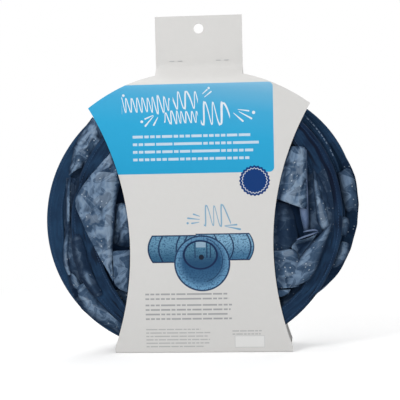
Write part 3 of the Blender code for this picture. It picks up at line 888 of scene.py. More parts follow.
# %% [markdown]
# ## The casings
# A torus would look like a rubber ring. The real casing is a bead where the wire runs, then two flat
# plies that come together at a stitched inner edge, and the stitching puckers them. So one
# cross-section is swept round the hoop, and its depth and width vary along the way. The mouth hoop's
# tape is also rolled back and stretched flat in places, and a groove is pressed into it at the right.

# %% Sweep one casing
BAND_STEPS = 240
BEAD = -1.7
TAPE_THICKNESS = 0.45 * MM
# Where the mouth hoop's tape is rolled back (degrees), stretched flat and grooved (mm), each with the
# middle of the place and its spread in degrees round the hoop.
ROLLED = ((12, 172, 22), (16, 8, 30))
STRETCHED = ((7.0, 201, 34), (6.5, 30, 26), (8.0, 9, 24))
GROOVED = (0.7, 27, 34)
GROOVE_ROW = 5.2
PROFILE = [(-15.6, -0.75), (-14.6, -1.2), (-13.0, -1.05), (-11.0, -1.15), (-8.0, -1.15), (-5.5, -1.2),
           (-3.6, -1.42), (-2.4, -1.62), (-1.5, -1.58), (-0.75, -1.25), (-0.2, -0.68), (0.0, 0.0)]


def wobble(angle, seed, waves):
    """Smooth closed noise round a hoop, about -1 to 1."""
    ring = Vector((math.cos(angle), math.sin(angle), 0)) * waves / 6
    return noise.noise(ring + Vector((0, 0, seed * 7.3))) * 1.6


def near_angle(angle, middle, spread):
    """1 at an angle round the hoop, falling to 0 this many degrees away from it."""
    apart = abs((math.degrees(angle) - middle + 180) % 360 - 180)
    return 1 - smoothstep(apart / spread)


def places_sum(places, angle):
    """Sum of what several places round the hoop add at an angle."""
    return sum(size * near_angle(angle, middle, spread) for size, middle, spread in places)


def band_twist(name, angle):
    """How far the tape is rolled back from its hoop's plane, in radians."""
    small = 1.5 * wobble(angle, len(name) * 0.37, 9)
    if name == "front_mouth":
        small += places_sum(ROLLED, angle)
    return math.radians(small)


def band_spare(name, angle):
    """Extra width in millimetres where the mouth's tape is stretched out flat."""
    return places_sum(STRETCHED, angle) if name == "front_mouth" else 0.0


SHOWN_TAPE = {"front_hub": rubbed_tape, "front_mouth": creased_tape}


def sweep_band(hoop):
    profile = PROFILE + [(radial, -depth) for radial, depth in reversed(PROFILE[:-1])]
    builder = bmesh.new()
    layer = builder.loops.layers.uv.new(UV_NAME)
    grid = []
    seed = hoop.centre.y * 997
    for step in range(BAND_STEPS):
        angle = 2 * math.pi * step / BAND_STEPS
        twist = band_twist(hoop.name, angle)
        pucker = wobble(angle, seed, 150)
        slow = wobble(angle, seed + 5, 22)
        ring = []
        for index, (radial, depth) in enumerate(profile):
            share = max(0.0, (-radial - 3.0) / 12.6)
            reach = radial + share * (0.9 * slow + 0.5 * pucker - band_spare(hoop.name, angle))
            ruffle = 0.35 * pucker * (1 if index % 2 else 0.8) + 0.35 * slow
            side = depth * (1 - 0.25 * share) + share * ruffle
            if depth < 0 and hoop.name == "front_mouth":
                side += places_sum([GROOVED], angle) * max(0.0, 1 - abs(radial + GROOVE_ROW) / 2.2)
            arm = reach - BEAD
            turned_reach = BEAD + arm * math.cos(twist) + side * math.sin(twist)
            turned_side = side * math.cos(twist) - arm * math.sin(twist)
            place = hoop.point(CASING_RADIUS + turned_reach * MM, angle, turned_side * MM)
            ring.append(builder.verts.new(place))
        grid.append(ring)
    lengths = [0.0]
    for first, second in zip(profile, profile[1:]):
        lengths.append(lengths[-1] + math.dist(first, second) * MM)
    around = 2 * math.pi * CASING_RADIUS
    for step in range(BAND_STEPS):
        row, following = grid[step], grid[(step + 1) % BAND_STEPS]
        for index in range(len(profile) - 1):
            face = builder.faces.new((row[index], row[index + 1],
                                      following[index + 1], following[index]))
            marks = ((step, index), (step, index + 1), (step + 1, index + 1), (step + 1, index))
            for loop, (along, across) in zip(face.loops, marks):
                loop[layer].uv = (along / BAND_STEPS * around, lengths[across])
    bmesh.ops.recalc_face_normals(builder, faces=builder.faces)
    item = add_object(f"{hoop.name}_band", builder, SHOWN_TAPE.get(hoop.name, navy_tape))
    item.data.shade_smooth()
    thicken(item, TAPE_THICKNESS, -1)
    apply_modifiers(item)
    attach(item, hoop.name)
    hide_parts(f"{hoop.name}_casing")
    return item


bands = {name: sweep_band(hoop) for name, hoop in hoops.items()}
print("casings:", len(bands), "with", len(bands["front_mouth"].data.vertices), "points each")

# %% [markdown]
# ## The printed cloth
# The tunnel is thin printed polyester in tones of one blue. A generic print of leaf sprigs and seed
# dots stands for it: each cell of a Voronoi pattern carries one leaf, turned by a random angle. How far
# a point of the cloth lies open to the light is kept in the mesh. Below 1 it darkens the print toward a
# shadow colour as painted shade, and above 1 it lightens it toward the dot colour as a painted highlight.

# %% Printed cloth material


def cloth_finish(name, ground, leaf_tone, dot_tone, shade, shadow_tone=(4, 27, 52)):
    paint = Paint(name, Roughness=0.82)
    paint.set("Specular IOR Level", 0.12)
    paint.set("Sheen Weight", 0.03)
    paint.set("Sheen Roughness", 0.45)
    where = paint.uv()

    def leaves(cell_size, length, width, seed):
        moved = where + paint.join(seed, seed * 0.7)
        cells = paint.node("ShaderNodeTexVoronoi", {"voronoi_dimensions": "2D"},
                           {"Vector": moved, "Scale": 1 / cell_size, "Randomness": 0.75})
        turn_pick, kind_pick, _ = paint.split(cells["Color"])
        turned = paint.node("ShaderNodeVectorRotate", {"rotation_type": "Z_AXIS"},
                            {"Vector": moved - cells["Position"],
                             "Angle": turn_pick * (2 * math.pi)}).out
        along, beside, _ = paint.split(turned)
        run = along / length
        bow = 1 - run.square()
        reach = abs(beside + run.square() * (0.5 * width)) / width
        blade = (bow * 0.95 - reach).ramp(-0.06, 0.10)
        vein = 1 - (reach / 0.16).ramp(0.5, 1.0)
        ribs = ((along * 2.2 + abs(beside) * 2.0) * (2 * math.pi / (3.2 * MM))).sin()
        return blade, blade * vein.most(ribs.ramp(0.55, 0.95) * 0.5), kind_pick

    def dots(cell_size, radius, chance, seed):
        cells = paint.node("ShaderNodeTexVoronoi", {"voronoi_dimensions": "2D"},
                           {"Vector": where + paint.join(seed, seed), "Scale": 1 / cell_size,
                            "Randomness": 0.9})
        chosen = paint.split(cells["Color"])[0] < chance
        share = radius / cell_size
        return (1 - cells["Distance"].ramp(share * 0.7, share * 1.3)) * chosen

    leaf, vein, kind = leaves(cell_size=21 * MM, length=12 * MM, width=4.4 * MM, seed=0.013)
    sprig, sprig_vein, _ = leaves(cell_size=10 * MM, length=5.2 * MM, width=1.5 * MM, seed=0.171)
    warp = paint.grain(where, 9 * MM, 2.0) - 0.5
    bent = where + paint.join(warp * 0.012, warp * -0.009)
    cloud = paint.grain(bent, 23 * MM, 1.0).ramp(0.50, 0.53)
    shade_share = cloud.most(leaf * (kind > 0.35))
    fleck = paint.grain(where, 5 * MM, 3.0)
    light = paint.mix(fleck, screen(*ground), screen(*shade))
    dark_seeds = dots(cell_size=6.5 * MM, radius=0.85 * MM, chance=0.3, seed=0.05)
    light = paint.mix((sprig * 0.6).most(dark_seeds * 0.6), light, screen(*leaf_tone))
    dark = paint.mix(fleck * 0.4, screen(*leaf_tone), screen(*shade))
    pale_seeds = dots(cell_size=5.6 * MM, radius=0.6 * MM, chance=0.4, seed=0.31)
    dark = paint.mix(pale_seeds * 0.75, dark, screen(*dot_tone))
    tone = paint.mix(shade_share, light, dark)
    tone = paint.mix(vein.most(sprig_vein) * 0.35, tone, screen(*ground))
    # Painted light: below 1 the attribute darkens the print toward the shadow colour as painted shade,
    # and above 1 it lightens it toward the dot colour as a painted highlight.
    light_paint = paint.node("ShaderNodeAttribute", {"attribute_name": PAINTED_LIGHT_NAME})["Fac"]
    tone = paint.mix((1 - light_paint).most(0.0) * 0.93, tone, screen(*shadow_tone))
    tone = paint.mix((light_paint - 1.0).most(0.0) * 0.6, tone, screen(*dot_tone))
    along, across, _ = paint.split(where)
    turns = 2 * math.pi / (0.55 * MM)
    thread = (along * turns).sin() * (across * turns).sin()
    paint.set("Base Color", tone)
    soft = paint.grain(where, 3.2 * MM, 4.0, 0.6)
    paint.set("Roughness", 0.72 + 0.18 * soft)
    crease = paint.bump(soft, 0.5 * MM, 0.55)
    paint.set("Normal", paint.bump(thread, 0.04 * MM, 0.4, crease))
    return paint.material


# Ground, leaf, seed dots and shaded ground.
# The third is a near-black copy of the print, for sheets that stand as painted shade in the openings.
printed_cloth, shadow_print, deep_cloth, reverse_cloth = (cloth_finish(*tones) for tones in (
    ("printed_cloth", (121, 145, 171), (50, 74, 101), (194, 208, 221), (98, 122, 150)),
    ("shadow_print", (30, 56, 82), (14, 36, 62), (170, 190, 206), (22, 46, 72)),
    ("deep_cloth", (10, 27, 44), (5, 16, 30), (24, 38, 56), (8, 21, 36)),
    ("reverse_cloth", (108, 128, 160), (90, 110, 144), (160, 172, 198), (98, 116, 148))))

# %% [markdown]
# ## Cloth between the hoops
# Each tube of cloth between two hoops is far longer than the gap it is now pressed into, so it lies as
# a pleat folded in toward the middle, with smaller folds running round it. Cloth simulation of seven
# such tubes in a gap of two millimetres is slow and unsteady, so the pleats are lofted: rows from one
# hoop's seam, in to the fold and out to the next hoop, gathered like the neck of a pouch, with crumples
# on top. The front layer is also pushed back against the rear one near the seams, so that no daylight
# shows between hoops.

# %% Fold helpers


def crease_noise(place, seed):
    """Ridged noise: soft valleys and sharp crests, as crumpled cloth has, about -1 to 1."""
    base = Vector(place) + Vector((seed * 3.7, seed * 1.9, seed * 5.3))
    total, size, share = 0.0, 1.0, 0.62
    for _ in range(3):
        total += share * (1 - 2 * abs(noise.noise(base * size)) * 1.6)
        size *= 2.1
        share *= 0.5
    return total


def card_half(height):
    return half_width(min(max(height, 0.0), CARD_TOP))


def open_share(x, z, margin=3 * MM, run=10 * MM):
    """1 beside the card, where cloth may bulge, and 0 behind it."""
    return smoothstep((abs(x) - card_half(z) - margin) / run)


def add_grid(builder, layer, grid, closed, lights=None, shift=(0.0, 0.0)):
    """Faces over rows of points, with UVs from lengths along the cloth and the light painted at each
    point.
    """
    verts = [[builder.verts.new(point) for point in row] for row in grid]
    light_paint_layer = builder.verts.layers.float[PAINTED_LIGHT_NAME]
    for row, made in enumerate(verts):
        for column, vert in enumerate(made):
            vert[light_paint_layer] = lights[row][column] if lights else 0.7
    rows = len(grid)
    columns = len(grid[0])
    half = columns // 2
    along = [0.0]
    for row in range(1, rows + 1):
        along.append(along[-1] + (grid[row % rows][half] - grid[row - 1][half]).length)
    across = []
    for points in grid:
        lengths = [0.0]
        for first, second in zip(points, points[1:]):
            lengths.append(lengths[-1] + (second - first).length)
        across.append([length - lengths[half] for length in lengths])
    for row in range(rows if closed else rows - 1):
        after = (row + 1) % rows
        for column in range(columns - 1):
            face = builder.faces.new((verts[row][column], verts[row][column + 1],
                                      verts[after][column + 1], verts[after][column]))
            marks = ((row, row, column), (row, row, column + 1),
                     (row + 1, after, column + 1), (row + 1, after, column))
            for loop, (step, source, place) in zip(face.loops, marks):
                loop[layer].uv = (across[source][place] + shift[0], along[step] + shift[1])


CLOTH_THICKNESS = 0.35 * MM
NEXT_PRINT = (23 * MM, 41 * MM)


def cloth_mesh(name, grids, closed, material):
    """A thin sheet of cloth from one or more grids of points, each with its own stretch of the print."""
    builder = bmesh.new()
    layer = builder.loops.layers.uv.new(UV_NAME)
    builder.verts.layers.float.new(PAINTED_LIGHT_NAME)
    for index, grid in enumerate(grids):
        points, lights = grid if isinstance(grid, tuple) else (grid, None)
        shift = [step * index for step in NEXT_PRINT]
        add_grid(builder, layer, points, closed, lights, shift)
    item = add_object(name, builder, material)
    item.data.shade_smooth()
    thicken(item, CLOTH_THICKNESS)
    return apply_modifiers(item)


def settle(item, nodes=()):
    """Cloth rides with the stack's middle hoop, with a mesh of its own, and the nodes it stands for are
    hidden.
    """
    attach(item, "left_middle")
    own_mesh(item)
    if nodes:
        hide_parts(*nodes)
    return item


# %% Pleats between the hoops
SEAM = 8 * MM
OUTER_SEAM = 2 * MM
TAPE_EDGE = 15.4 * MM
ROUND_STEPS = 300
FOLD_ROWS = 30
OPENING_TIP = 118.5 * MM
GATHERS = 29  # round the hoop in the front layer; the rear one has 4 more
SLACK, RIPPLE = 2.6 * MM, 0.6 * MM  # of the front layer near the seams
PUFF = 5.0  # mm that the last cloth puffs out
PLEAT_LIGHT, PIT_LIGHT = 0.72, 0.14


def pleat(name, front, back, fold, seed):
    """The cloth between two hoops, folded inward, with crumples that stay inside its own slab.

    The first one is cut short and painted dark as shade in the two openings, where drawn folds take its
    place. The last one puffs out a little beside the card, because nothing lies behind it.
    """
    grid, lights = [], []
    first_cloth = front.name == "front_mouth"
    last_cloth = back.name == "right_hub"
    for step in range(ROUND_STEPS):
        angle = 2 * math.pi * step / ROUND_STEPS
        across, up = math.cos(angle), math.sin(angle)
        tip = fold * (1 + 0.11 * math.sin(3 * angle + seed) + 0.06 * math.sin(5 * angle + 2 * seed))
        opening = smoothstep((abs(across) - 0.35) / 0.27) if first_cloth else 0.0
        short = tip + (OPENING_TIP - tip) * opening
        row, light_row = [], []
        for side, hoop, sign in ((0, front, 1), (1, back, -1)):
            half, half_light = [], []
            reach = max(short - 15 * MM, tip) if side == 1 and across < 0 else short
            seam = SEAM if side or first_cloth else OUTER_SEAM
            for index in range(FOLD_ROWS + 1):
                share = index / FOLD_ROWS
                radius = CASING_RADIUS - seam + (reach - CASING_RADIUS + seam) * share
                free = smoothstep((CASING_RADIUS - TAPE_EDGE - radius) / (14 * MM))
                tight = 1 - smoothstep((share - 0.72) / 0.28)
                drift = noise.noise((across * radius * 22, up * radius * 22, seed * 3 + side))
                gather = (GATHERS + 4 * side) * angle + 9 * drift + 24 * share * drift
                wave = math.sin(gather)
                crest = math.copysign(abs(wave) ** 0.7, wave) * (0.35 + 0.65 * share)
                rough = crease_noise((radius * 40, across * 4.2, up * 4.2), seed + side)
                place = hoop.point(radius, angle)
                lens = open_share(place.x, place.z)
                deep = 0.2 * MM + 0.8 * MM * free
                if side == 0:
                    weave = math.sin(21 * angle + 6.5 * wobble(angle, seed, 14) + radius / (2.7 * MM))
                    deep += (SLACK + RIPPLE * weave) * (1 - free) * (1 - opening)
                swing = 0.45 * MM * free * (0.6 * crest + 0.5 * rough)
                if last_cloth and side == 1:
                    deep += free * tight * lens * PUFF * MM
                    swing += free * tight * lens * (2.8 * crest + 2.6 * rough) * MM
                    place = hoop.point(radius, angle + free * lens * 0.035 * math.cos(gather))
                place.y += sign * (deep + swing)
                half.append(place)
                # Painted light: the cloth is painted darker where it runs behind the card and lighter on
                # crests.
                light = PLEAT_LIGHT - 0.2 * free * (1 - lens) + (0.16 * crest + 0.18 * rough) * free
                half_light.append(light + (PIT_LIGHT - light) * opening)
            row += half if side == 0 else half[::-1]
            light_row += half_light if side == 0 else half_light[::-1]
        grid.append(row)
        lights.append(light_row)
    return cloth_mesh(name, [(grid, lights)], True, printed_cloth)


CLOTHS = (
    ("front_outer_cloth", "front_mouth", "front_middle", 60 * MM, 0.4),
    ("front_inner_cloth", "front_middle", "front_hub", 60 * MM, 1.5),
    ("hub_cloth", "front_hub", "left_hub", 56 * MM, 2.9),
    ("left_inner_cloth", "left_hub", "left_middle", 60 * MM, 0.9),
    ("left_outer_cloth", "left_middle", "left_mouth", 60 * MM, 2.2),
    ("right_outer_cloth", "right_mouth", "right_middle", 60 * MM, 3.4),
    ("right_inner_cloth", "right_middle", "right_hub", 60 * MM, 5.0),
)
for name, front, back, fold, seed in CLOTHS:
    item = pleat(f"{name}_pleat", hoops[front], hoops[back], fold, seed)
    settle(item, [name])

# %% [markdown]
# ## Crumpled cloth in the two openings
# Beside the card the cloth of the front arm bulges out of the mouth hoop in big folds. Noise alone
# never gives folds that look laid by hand, so these are drawn: each panel is a net of points, given by
# where the camera sees them and how far they stand in front of the pack's middle plane. A smooth curve
# runs through the net's rows and columns, fine creases are added on top, and the cloth is kept behind
# the card where they meet.
#
# A net is written as a table, with one row on a line and commas between its points. A point is its
# place across and down in the camera's square frame, then its millimetres in front of the middle plane.
# Where a whole row lies at one place down the frame, that place stands first, before a colon.

# %% Nets of points


def net(table):
    """Rows of (across, down, depth in mm) from a table. Depths come out negative, because front is -y."""
    rows = []
    for line in table.strip().splitlines():
        shared_down, _, points = line.rpartition(":")
        row = []
        for point in points.split(","):
            numbers = [float(number) for number in point.split()]
            if shared_down:
                numbers.insert(1, float(shared_down))
            row.append((numbers[0], numbers[1], -numbers[2]))
        rows.append(row)
    return rows


def curve_through(points, steps):
    """Points along a smooth curve that passes through all the given ones."""
    out = []
    last = len(points) - 1
    for index in range(last):
        before = points[max(index - 1, 0)]
        first, second = points[index], points[index + 1]
        after = points[min(index + 2, last)]
        for step in range(steps):
            share = step / steps
            out.append(0.5 * (2 * first + (second - before) * share
                              + (2 * before - 5 * first + 4 * second - after) * share ** 2
                              + (3 * first - before - 3 * second + after) * share ** 3))
    out.append(points[last].copy())
    return out


CARD_BACK_Y = -23.9 * MM
MOST_PROUD = 9 * MM


def behind_card(point):
    """Keep a point of cloth behind the card's front panel. Beside the card it may stand proud."""
    room = smoothstep((abs(point.x) - card_half(point.z) - 0.4 * MM) / (5 * MM))
    point.y = max(point.y, CARD_BACK_Y - MOST_PROUD * room)


def blurred(values, reach):
    """Running mean of a table of numbers, along its rows and then its columns."""
    for _ in range(2):
        wide = []
        for row in values:
            sums = [0.0]
            for value in row:
                sums.append(sums[-1] + value)
            spans = [(max(place - reach, 0), min(place + reach + 1, len(row)))
                     for place in range(len(row))]
            wide.append([(sums[end] - sums[start]) / (end - start) for start, end in spans])
        values = [list(column) for column in zip(*wide)]
    return values


def drawn_panel(rows, crease=(0.5, 30, 16, 5), seed=1.0, steps=(9, 9), lit=(19.0, 25.0)):
    """Dense grid of points from a net of (across, down, depth in mm) rows, and the light painted at each
    one.

    crease is the depth in mm of the fine folds, the angle in degrees that they run at in the picture, and
    their length and spacing in mm. Cloth at the first height of lit is painted dark as shade, at the
    second in full light, and crests get a painted highlight over the valleys between them.
    """
    depth, run, long, short = crease
    dark, full = lit
    net = [[seen_at(across, down, depth_mm * MM) for across, down, depth_mm in row] for row in rows]
    fine_rows = [curve_through(row, steps[0]) for row in net]
    columns = [curve_through(list(column), steps[1]) for column in zip(*fine_rows)]
    grid = [list(row) for row in zip(*columns)]
    lean = math.radians(run)
    for row in grid:
        for point in row:
            along = point.x * math.cos(lean) + point.z * math.sin(lean)
            beside = point.z * math.cos(lean) - point.x * math.sin(lean)
            bend = noise.noise((along / (long * MM), beside / (long * 0.8 * MM), seed))
            fold = crease_noise((along / (long * MM) + bend,
                                 beside / (short * MM) + 1.5 * bend, seed), seed)
            fine = crease_noise((along / (long * 0.3 * MM), beside / (short * 0.4 * MM), 0), seed + 9)
            point.y -= (1.1 * fold + 0.4 * fine) * depth * MM
            point.x += 0.3 * fold * depth * MM
            behind_card(point)
    heights = [[-point.y / MM for point in row] for row in grid]
    near, far = blurred(heights, 2), blurred(heights, 8)
    # Painted light: cloth deep in the stack is painted dark as shade, and crests get a painted highlight.
    lights = []
    for row, heights_row in enumerate(heights):
        line = []
        for column, height in enumerate(heights_row):
            out = smoothstep((near[row][column] - dark) / (full - dark))
            crest = 0.55 * (height - near[row][column]) + 0.45 * (near[row][column] - far[row][column])
            line.append(min(1.3, max(0.0, 0.05 + 0.91 * out + crest * (0.4 + 0.6 * out))))
        lights.append(line)
    return grid, lights


TUCK_DEPTH = -16.6


def tucked(rows, run):
    """The net with one more column, which takes the cloth on behind the card and into the stack."""
    if run > 0:
        return [row + [(row[-1][0] + run, row[-1][1], TUCK_DEPTH)] for row in rows]
    return [[(row[0][0] + run, row[0][1], TUCK_DEPTH)] + row for row in rows]


def lay_cloth(name, grids, material):
    """One piece of cloth from drawn panels."""
    item = cloth_mesh(name, grids, False, material)
    settle(item)
    return item


# %% Left opening: the mouth's own cloth
fall = net("""
    143: 110 22, 114 22, 118 22, 122 22, 127 21, 132 20
    152: 110.6 24.6, 112 25, 113.4 25.2, 116 24.4, 121 22.5, 130 21
    162: 102.2 24.7, 105 25.4, 108 25.6, 112 25.2, 118 23.8, 127 21
    94 171.6 24.7, 97.2 171.6 24.9, 101 171.2 24.9, 108 171.6 24.8, 116 172.4 24.2, 125 174 21
    91 174.8 24.8, 94.6 174.8 26.4, 99.5 173.2 29, 106 173.4 30, 114 174.8 28.6, 122 176.4 24
    82.6 186 24.7, 87 185.6 26.2, 94 185.4 28.2, 103 185.6 29.6, 113 186 28.6, 119.8 186 23.4
    76.4 197 24.7, 81.5 198.5 26.4, 91 202 27.2, 101 203.6 30, 110 201.6 29.6, 116.6 198 23.8
    75.6 206 24.6, 81 208.4 25.2, 90 210.5 25.8, 101 210.6 27.6, 110 208.6 29, 115.6 207 23.6
    80 217 24.6, 85 217.4 26, 93 218.6 28.4, 102 218.6 28.6, 110 217.6 29.4, 115 217 23.4
    232: 86.4 24.6, 90.5 25.6, 96.5 27.4, 103.5 29.2, 109.8 28.8, 114 23.2
    93.6 245.5 24.6, 97 245.5 25.6, 101 246 27.2, 105.2 246 28.4, 109.6 246 28.2, 112.8 246 23.2
    100.2 258.3 24.6, 102.5 258.5 25.4, 105 259 26.6, 107.6 259 27.4, 110.5 259 27, 113.2 259 23.4
    106.8 269.4 24.6, 108.2 270 25, 109.6 270.3 25.6, 111 270.5 25.8, 112.4 271 25.4, 113.8 271 23.6
    112.6 280.6 24.5, 113.2 281 24.7, 113.8 281.5 24.7, 114.3 282 24.5, 114.8 282.5 24.2, 115.3 283 23.4
""")
hem = net("""
    112.4 251.6 24.2, 117 251 24.6, 122 250.8 24.4, 127.5 250.4 23.6, 135 250 22.6
    112.6 252.6 25.6, 117 252 26, 122 251.8 25.8, 128 251.4 24, 135 251 23
    262: 113.2 25.8, 118 26.6, 123 25.8, 129 24.4, 135 23
    274: 113.6 25.4, 118 26, 123 26.2, 129 24.4, 135 23
    115 284 24.8, 119 284.5 25, 124 285 25.2, 129 286 24.2, 135 287 23
    120.5 289.6 24.4, 123 290.6 24.6, 126 291.8 24.6, 129.5 293.4 24, 135 296 23""")
lay_cloth("mouth_cloth_left", [
    drawn_panel(fall, (1.0, 62, 24, 8), 2.0, lit=(19.5, 26)),
    drawn_panel(tucked(hem, 15), (0.6, 75, 24, 7), 5.0, lit=(19.6, 29.4))],
    printed_cloth)

# Dark sheets of painted shade, set where the left opening falls into shadow: the hollow behind the cloth
# and two pockets below.
hollow_shade = net("""
    146: 98 18.4, 108 18, 118 18, 128 18
    170: 96 18.4, 108 17.8, 120 17.6, 133 18
    196: 96 18.4, 109 17.8, 122 17.6, 136 18
    216: 96 18.4, 109 17.8, 122 17.6, 137 18
    236: 97 18.4, 110 17.8, 122 17.6, 138 18
    262: 102 18.4, 112 17.8, 124 17.6, 138 18
    290: 112 18.4, 120 18, 128 18, 137 18""")
slump = net("""
    113 206 18, 118 203.5 20.5, 123 203 22, 129 206 22.5, 136 208 22
    113 212 18, 118 210 22, 123.5 209 23.8, 130 211 23.4, 136 213 22.6
    112 222 18, 117 221 21.6, 123 220 22.8, 130 221 23.2, 136 222 22.6
    111 233 18, 117 232 20.6, 123 232 22, 130 233 22, 136 234 21.6
    110 241 17, 116 242 18.8, 122 243 19.6, 130 244 19.6, 136 245 19.6
    110 245 15, 116 245.5 17, 122 246.5 18, 130 248 18, 136 249 18""")
lay_cloth("mouth_lining_left", [
    drawn_panel(tucked(slump, 12), (1.1, 70, 14, 6), 3.0, lit=(19.4, 25.5))],
    printed_cloth)
low_pocket_shade = net("""
    71.6 289 19.6, 74.6 288.6 20.2, 78 288.8 20.2, 81 289.4 20
    73 292 19.6, 75.6 292 20.4, 77.8 292.4 20.4, 79.6 292.8 20
    75.4 297.6 19.6, 76.8 296.8 20.4, 78.2 296.4 20.4, 79.2 296 20""")
band_pocket_shade = net("""
    97.6 298.6 21.6, 100.4 299.6 22.8, 103.6 300 23.2, 106.6 300.8 23
    99.4 301.6 21.6, 102.8 303 22.8, 106 303.8 23.2, 109.4 304.8 23
    103 305.6 21.6, 106 306.8 22.6, 109 307.8 22.8, 111.6 308.4 22.8
    108.6 309.4 21.6, 110.4 309.8 22.2, 112 310 22.4, 113.4 310.2 22.4""")
lay_cloth("mouth_depth_left", [
    drawn_panel(tucked(hollow_shade, 20), (0.6, 80, 20, 6), 4.0, (4, 4)),
    drawn_panel(low_pocket_shade, (0.1, 0, 9, 3), 4.2, (4, 4)),
    drawn_panel(band_pocket_shade, (0.1, 0, 9, 3), 4.4, (4, 4))],
    deep_cloth)

# %% Left opening: cloth between the mouth hoop and the next
OUTER_LIT = (18.6, 23)
crown = net("""
    92.5 117 19, 95 119.5 20.6, 98 123.5 21.2, 102 128.5 20.2, 107 134 19.2
    85 127.3 19, 89.5 129.5 21.6, 94 133 22.2, 98.5 138 20.6, 104 143 19.2
    79 136.5 19, 84 138 21.6, 89 141 22.2, 94 145.5 20.8, 99 150 19.2
    74.4 146.5 19, 79 148 21.6, 84 150.5 22, 89 154.5 20.6, 94 158.5 19.2
    71.8 158 19, 75.5 159 21, 79.5 160.5 21.4, 84 163 20.4, 89 167 19.2
    69.6 169 19, 72.5 168 20.9, 76 167 21.2, 81 165.5 20.4, 87 167 19.2
    68.6 176 18.8, 71.5 173.4 20.2, 75 170.8 20.4, 80 168.2 19.9, 86 168.6 19.2""")
strip = net("""
    75 286.5 19, 79.5 285 20.8, 83.5 283 20.8, 88 282 19.2
    77.6 299 19, 82.6 296 21.2, 88 293.5 21, 93 291 19.2
    81.4 308.5 19, 87.5 305 21.4, 94.5 301 21.2, 100 299 19.2
    91.4 316.6 19, 96.5 312 21.3, 103.5 308.6 21.1, 110 307.2 19.2
    104 324.6 19, 108 319 21.2, 113 314.4 21.1, 118 312 19.2
    116 331.6 19, 118.6 326 20.8, 122 321 20.6, 127 317 19.2
    124 336 19, 126 330.5 20.2, 129 325 20, 134 320 19.2""")
upper_lobe = net("""
    77 273 18.9, 81 271.4 19.6, 85 272 20, 90 275.5 19.6
    78 276 19.2, 82 274 21.6, 86.5 275.5 22, 92 280 20.2
    80 281 19, 84 280 20.6, 88.5 281 21, 94 286 19.6
    83 286 18.8, 87 286 19, 91 288 19, 95 290 18.8""")
lower_lobe = net("""
    69 272 18.8, 72.5 273.5 20.4, 76 277 20.6, 80 281 19
    69.6 277 18.8, 73 279 21.4, 77 282.4 21.6, 81.5 285.6 19.4
    71.4 284 18.8, 74.6 285.4 21, 78 287 21, 82 288.6 19.2
    74 289 18.8, 76.6 289.6 19.4, 79.5 290 19.4, 82.6 290 18.9""")
ROLL_LINE = ((70.4, 177, 1.3), (69, 187, 1.6), (68.6, 200, 1.7), (68.6, 215, 1.7), (68, 230, 1.8),
             (66.4, 243, 2.2), (65.6, 256, 2.2), (66.8, 266, 1.9), (69.6, 275, 1.6))
ROLL_ARCH = ((-1.1, 0.2), (-0.8, 1.5), (0, 2.3), (0.8, 1.5), (1.1, 0.2))


def roll_rise(down):
    """How far the rolled edge stands out: above and below the place where the band bends over it."""
    upper = smoothstep((down - 182) / 8) * smoothstep((230 - down) / 6)
    return max(smoothstep((down - 236) / 12), 0.8 * upper)


hem_roll = [[(across + spread * half, down, -17.9 - rise * 0.5 - (1 + rise * 0.5) * roll_rise(down))
             for spread, rise in ROLL_ARCH] for across, down, half in ROLL_LINE]
lay_cloth("front_cloth_left", [
    drawn_panel(crown, (1.1, 38, 16, 6), 6.0, lit=OUTER_LIT),
    drawn_panel(strip, (1.0, -48, 18, 5), 7.0, lit=(18.4, 23.4)),
    drawn_panel(upper_lobe, (0.4, -30, 10, 4), 8.0, (6, 6), OUTER_LIT),
    drawn_panel(lower_lobe, (0.4, -40, 10, 4), 9.0, (6, 6), OUTER_LIT),
    drawn_panel(hem_roll, (0.6, 70, 6, 3), 10.0, (4, 8), (18.2, 22.4))],
    printed_cloth)

tuck = net("""
    66 178 18.8, 71 178 18.9, 77 178 19, 82 176 19.2
    192: 66 18.8, 71 18.7, 75 18.8, 79 19.2
    212: 66 18.8, 71 18.7, 75 18.8, 79 19.2
    232: 65 18.8, 71 18.8, 77 19, 84 19.2
    65 242 18.8, 72 242 19.8, 78 243 19.6, 86 243 19.2
    254: 65 18.8, 72 20.6, 79 20, 89 19.2
    266: 66 18.8, 73 20, 81 20.4, 92 19.2
    68 276 18.8, 76 275 19.2, 84 274 19.4, 95 276 19.2
    71 290 18.8, 79 289 18.9, 88 288 19, 100 290 19.2
    80 306 18.8, 90 302 18.9, 100 300 19, 112 302 19.2
    98 320 18.8, 107 314 18.9, 115 310 19, 124 312 19.2""")
spill = net("""
    234: 73 22.5, 75 24.5, 77.4 24.5, 79.6 24.4
    71.5 241 22, 75.5 240.6 24.9, 79.5 240.6 24.8, 82.6 241 24.5
    250: 72 21.8, 77 25.1, 81.5 24.8, 85.5 24.5
    260: 74 21.6, 79 24.9, 83.5 24.7, 87.5 24.5
    268: 77 21.4, 82 24.6, 86.5 24.6, 90.5 24.5
    78.6 275 21.6, 83.5 272.6 25.4, 88.5 273.4 25.4, 93.5 275.4 24.7
    84 284 21.6, 88.4 283.2 25.4, 93 284 25.3, 97.5 284 24.6
    90 292 21.6, 94 291.6 24.9, 97.6 291 24.9, 101.5 290.6 24.5
    95.5 297.4 21.4, 97.6 296.4 24.4, 99.6 295.6 24.4, 102 294.8 24.4""")
lay_cloth("front_lining_left", [
    drawn_panel(tuck, (0.7, 80, 12, 4), 11.0, (6, 6), (18.4, 24.4)),
    drawn_panel(spill, (0.35, -60, 12, 4), 28.0, (6, 6), (24.7, 27.3))],
    printed_cloth)

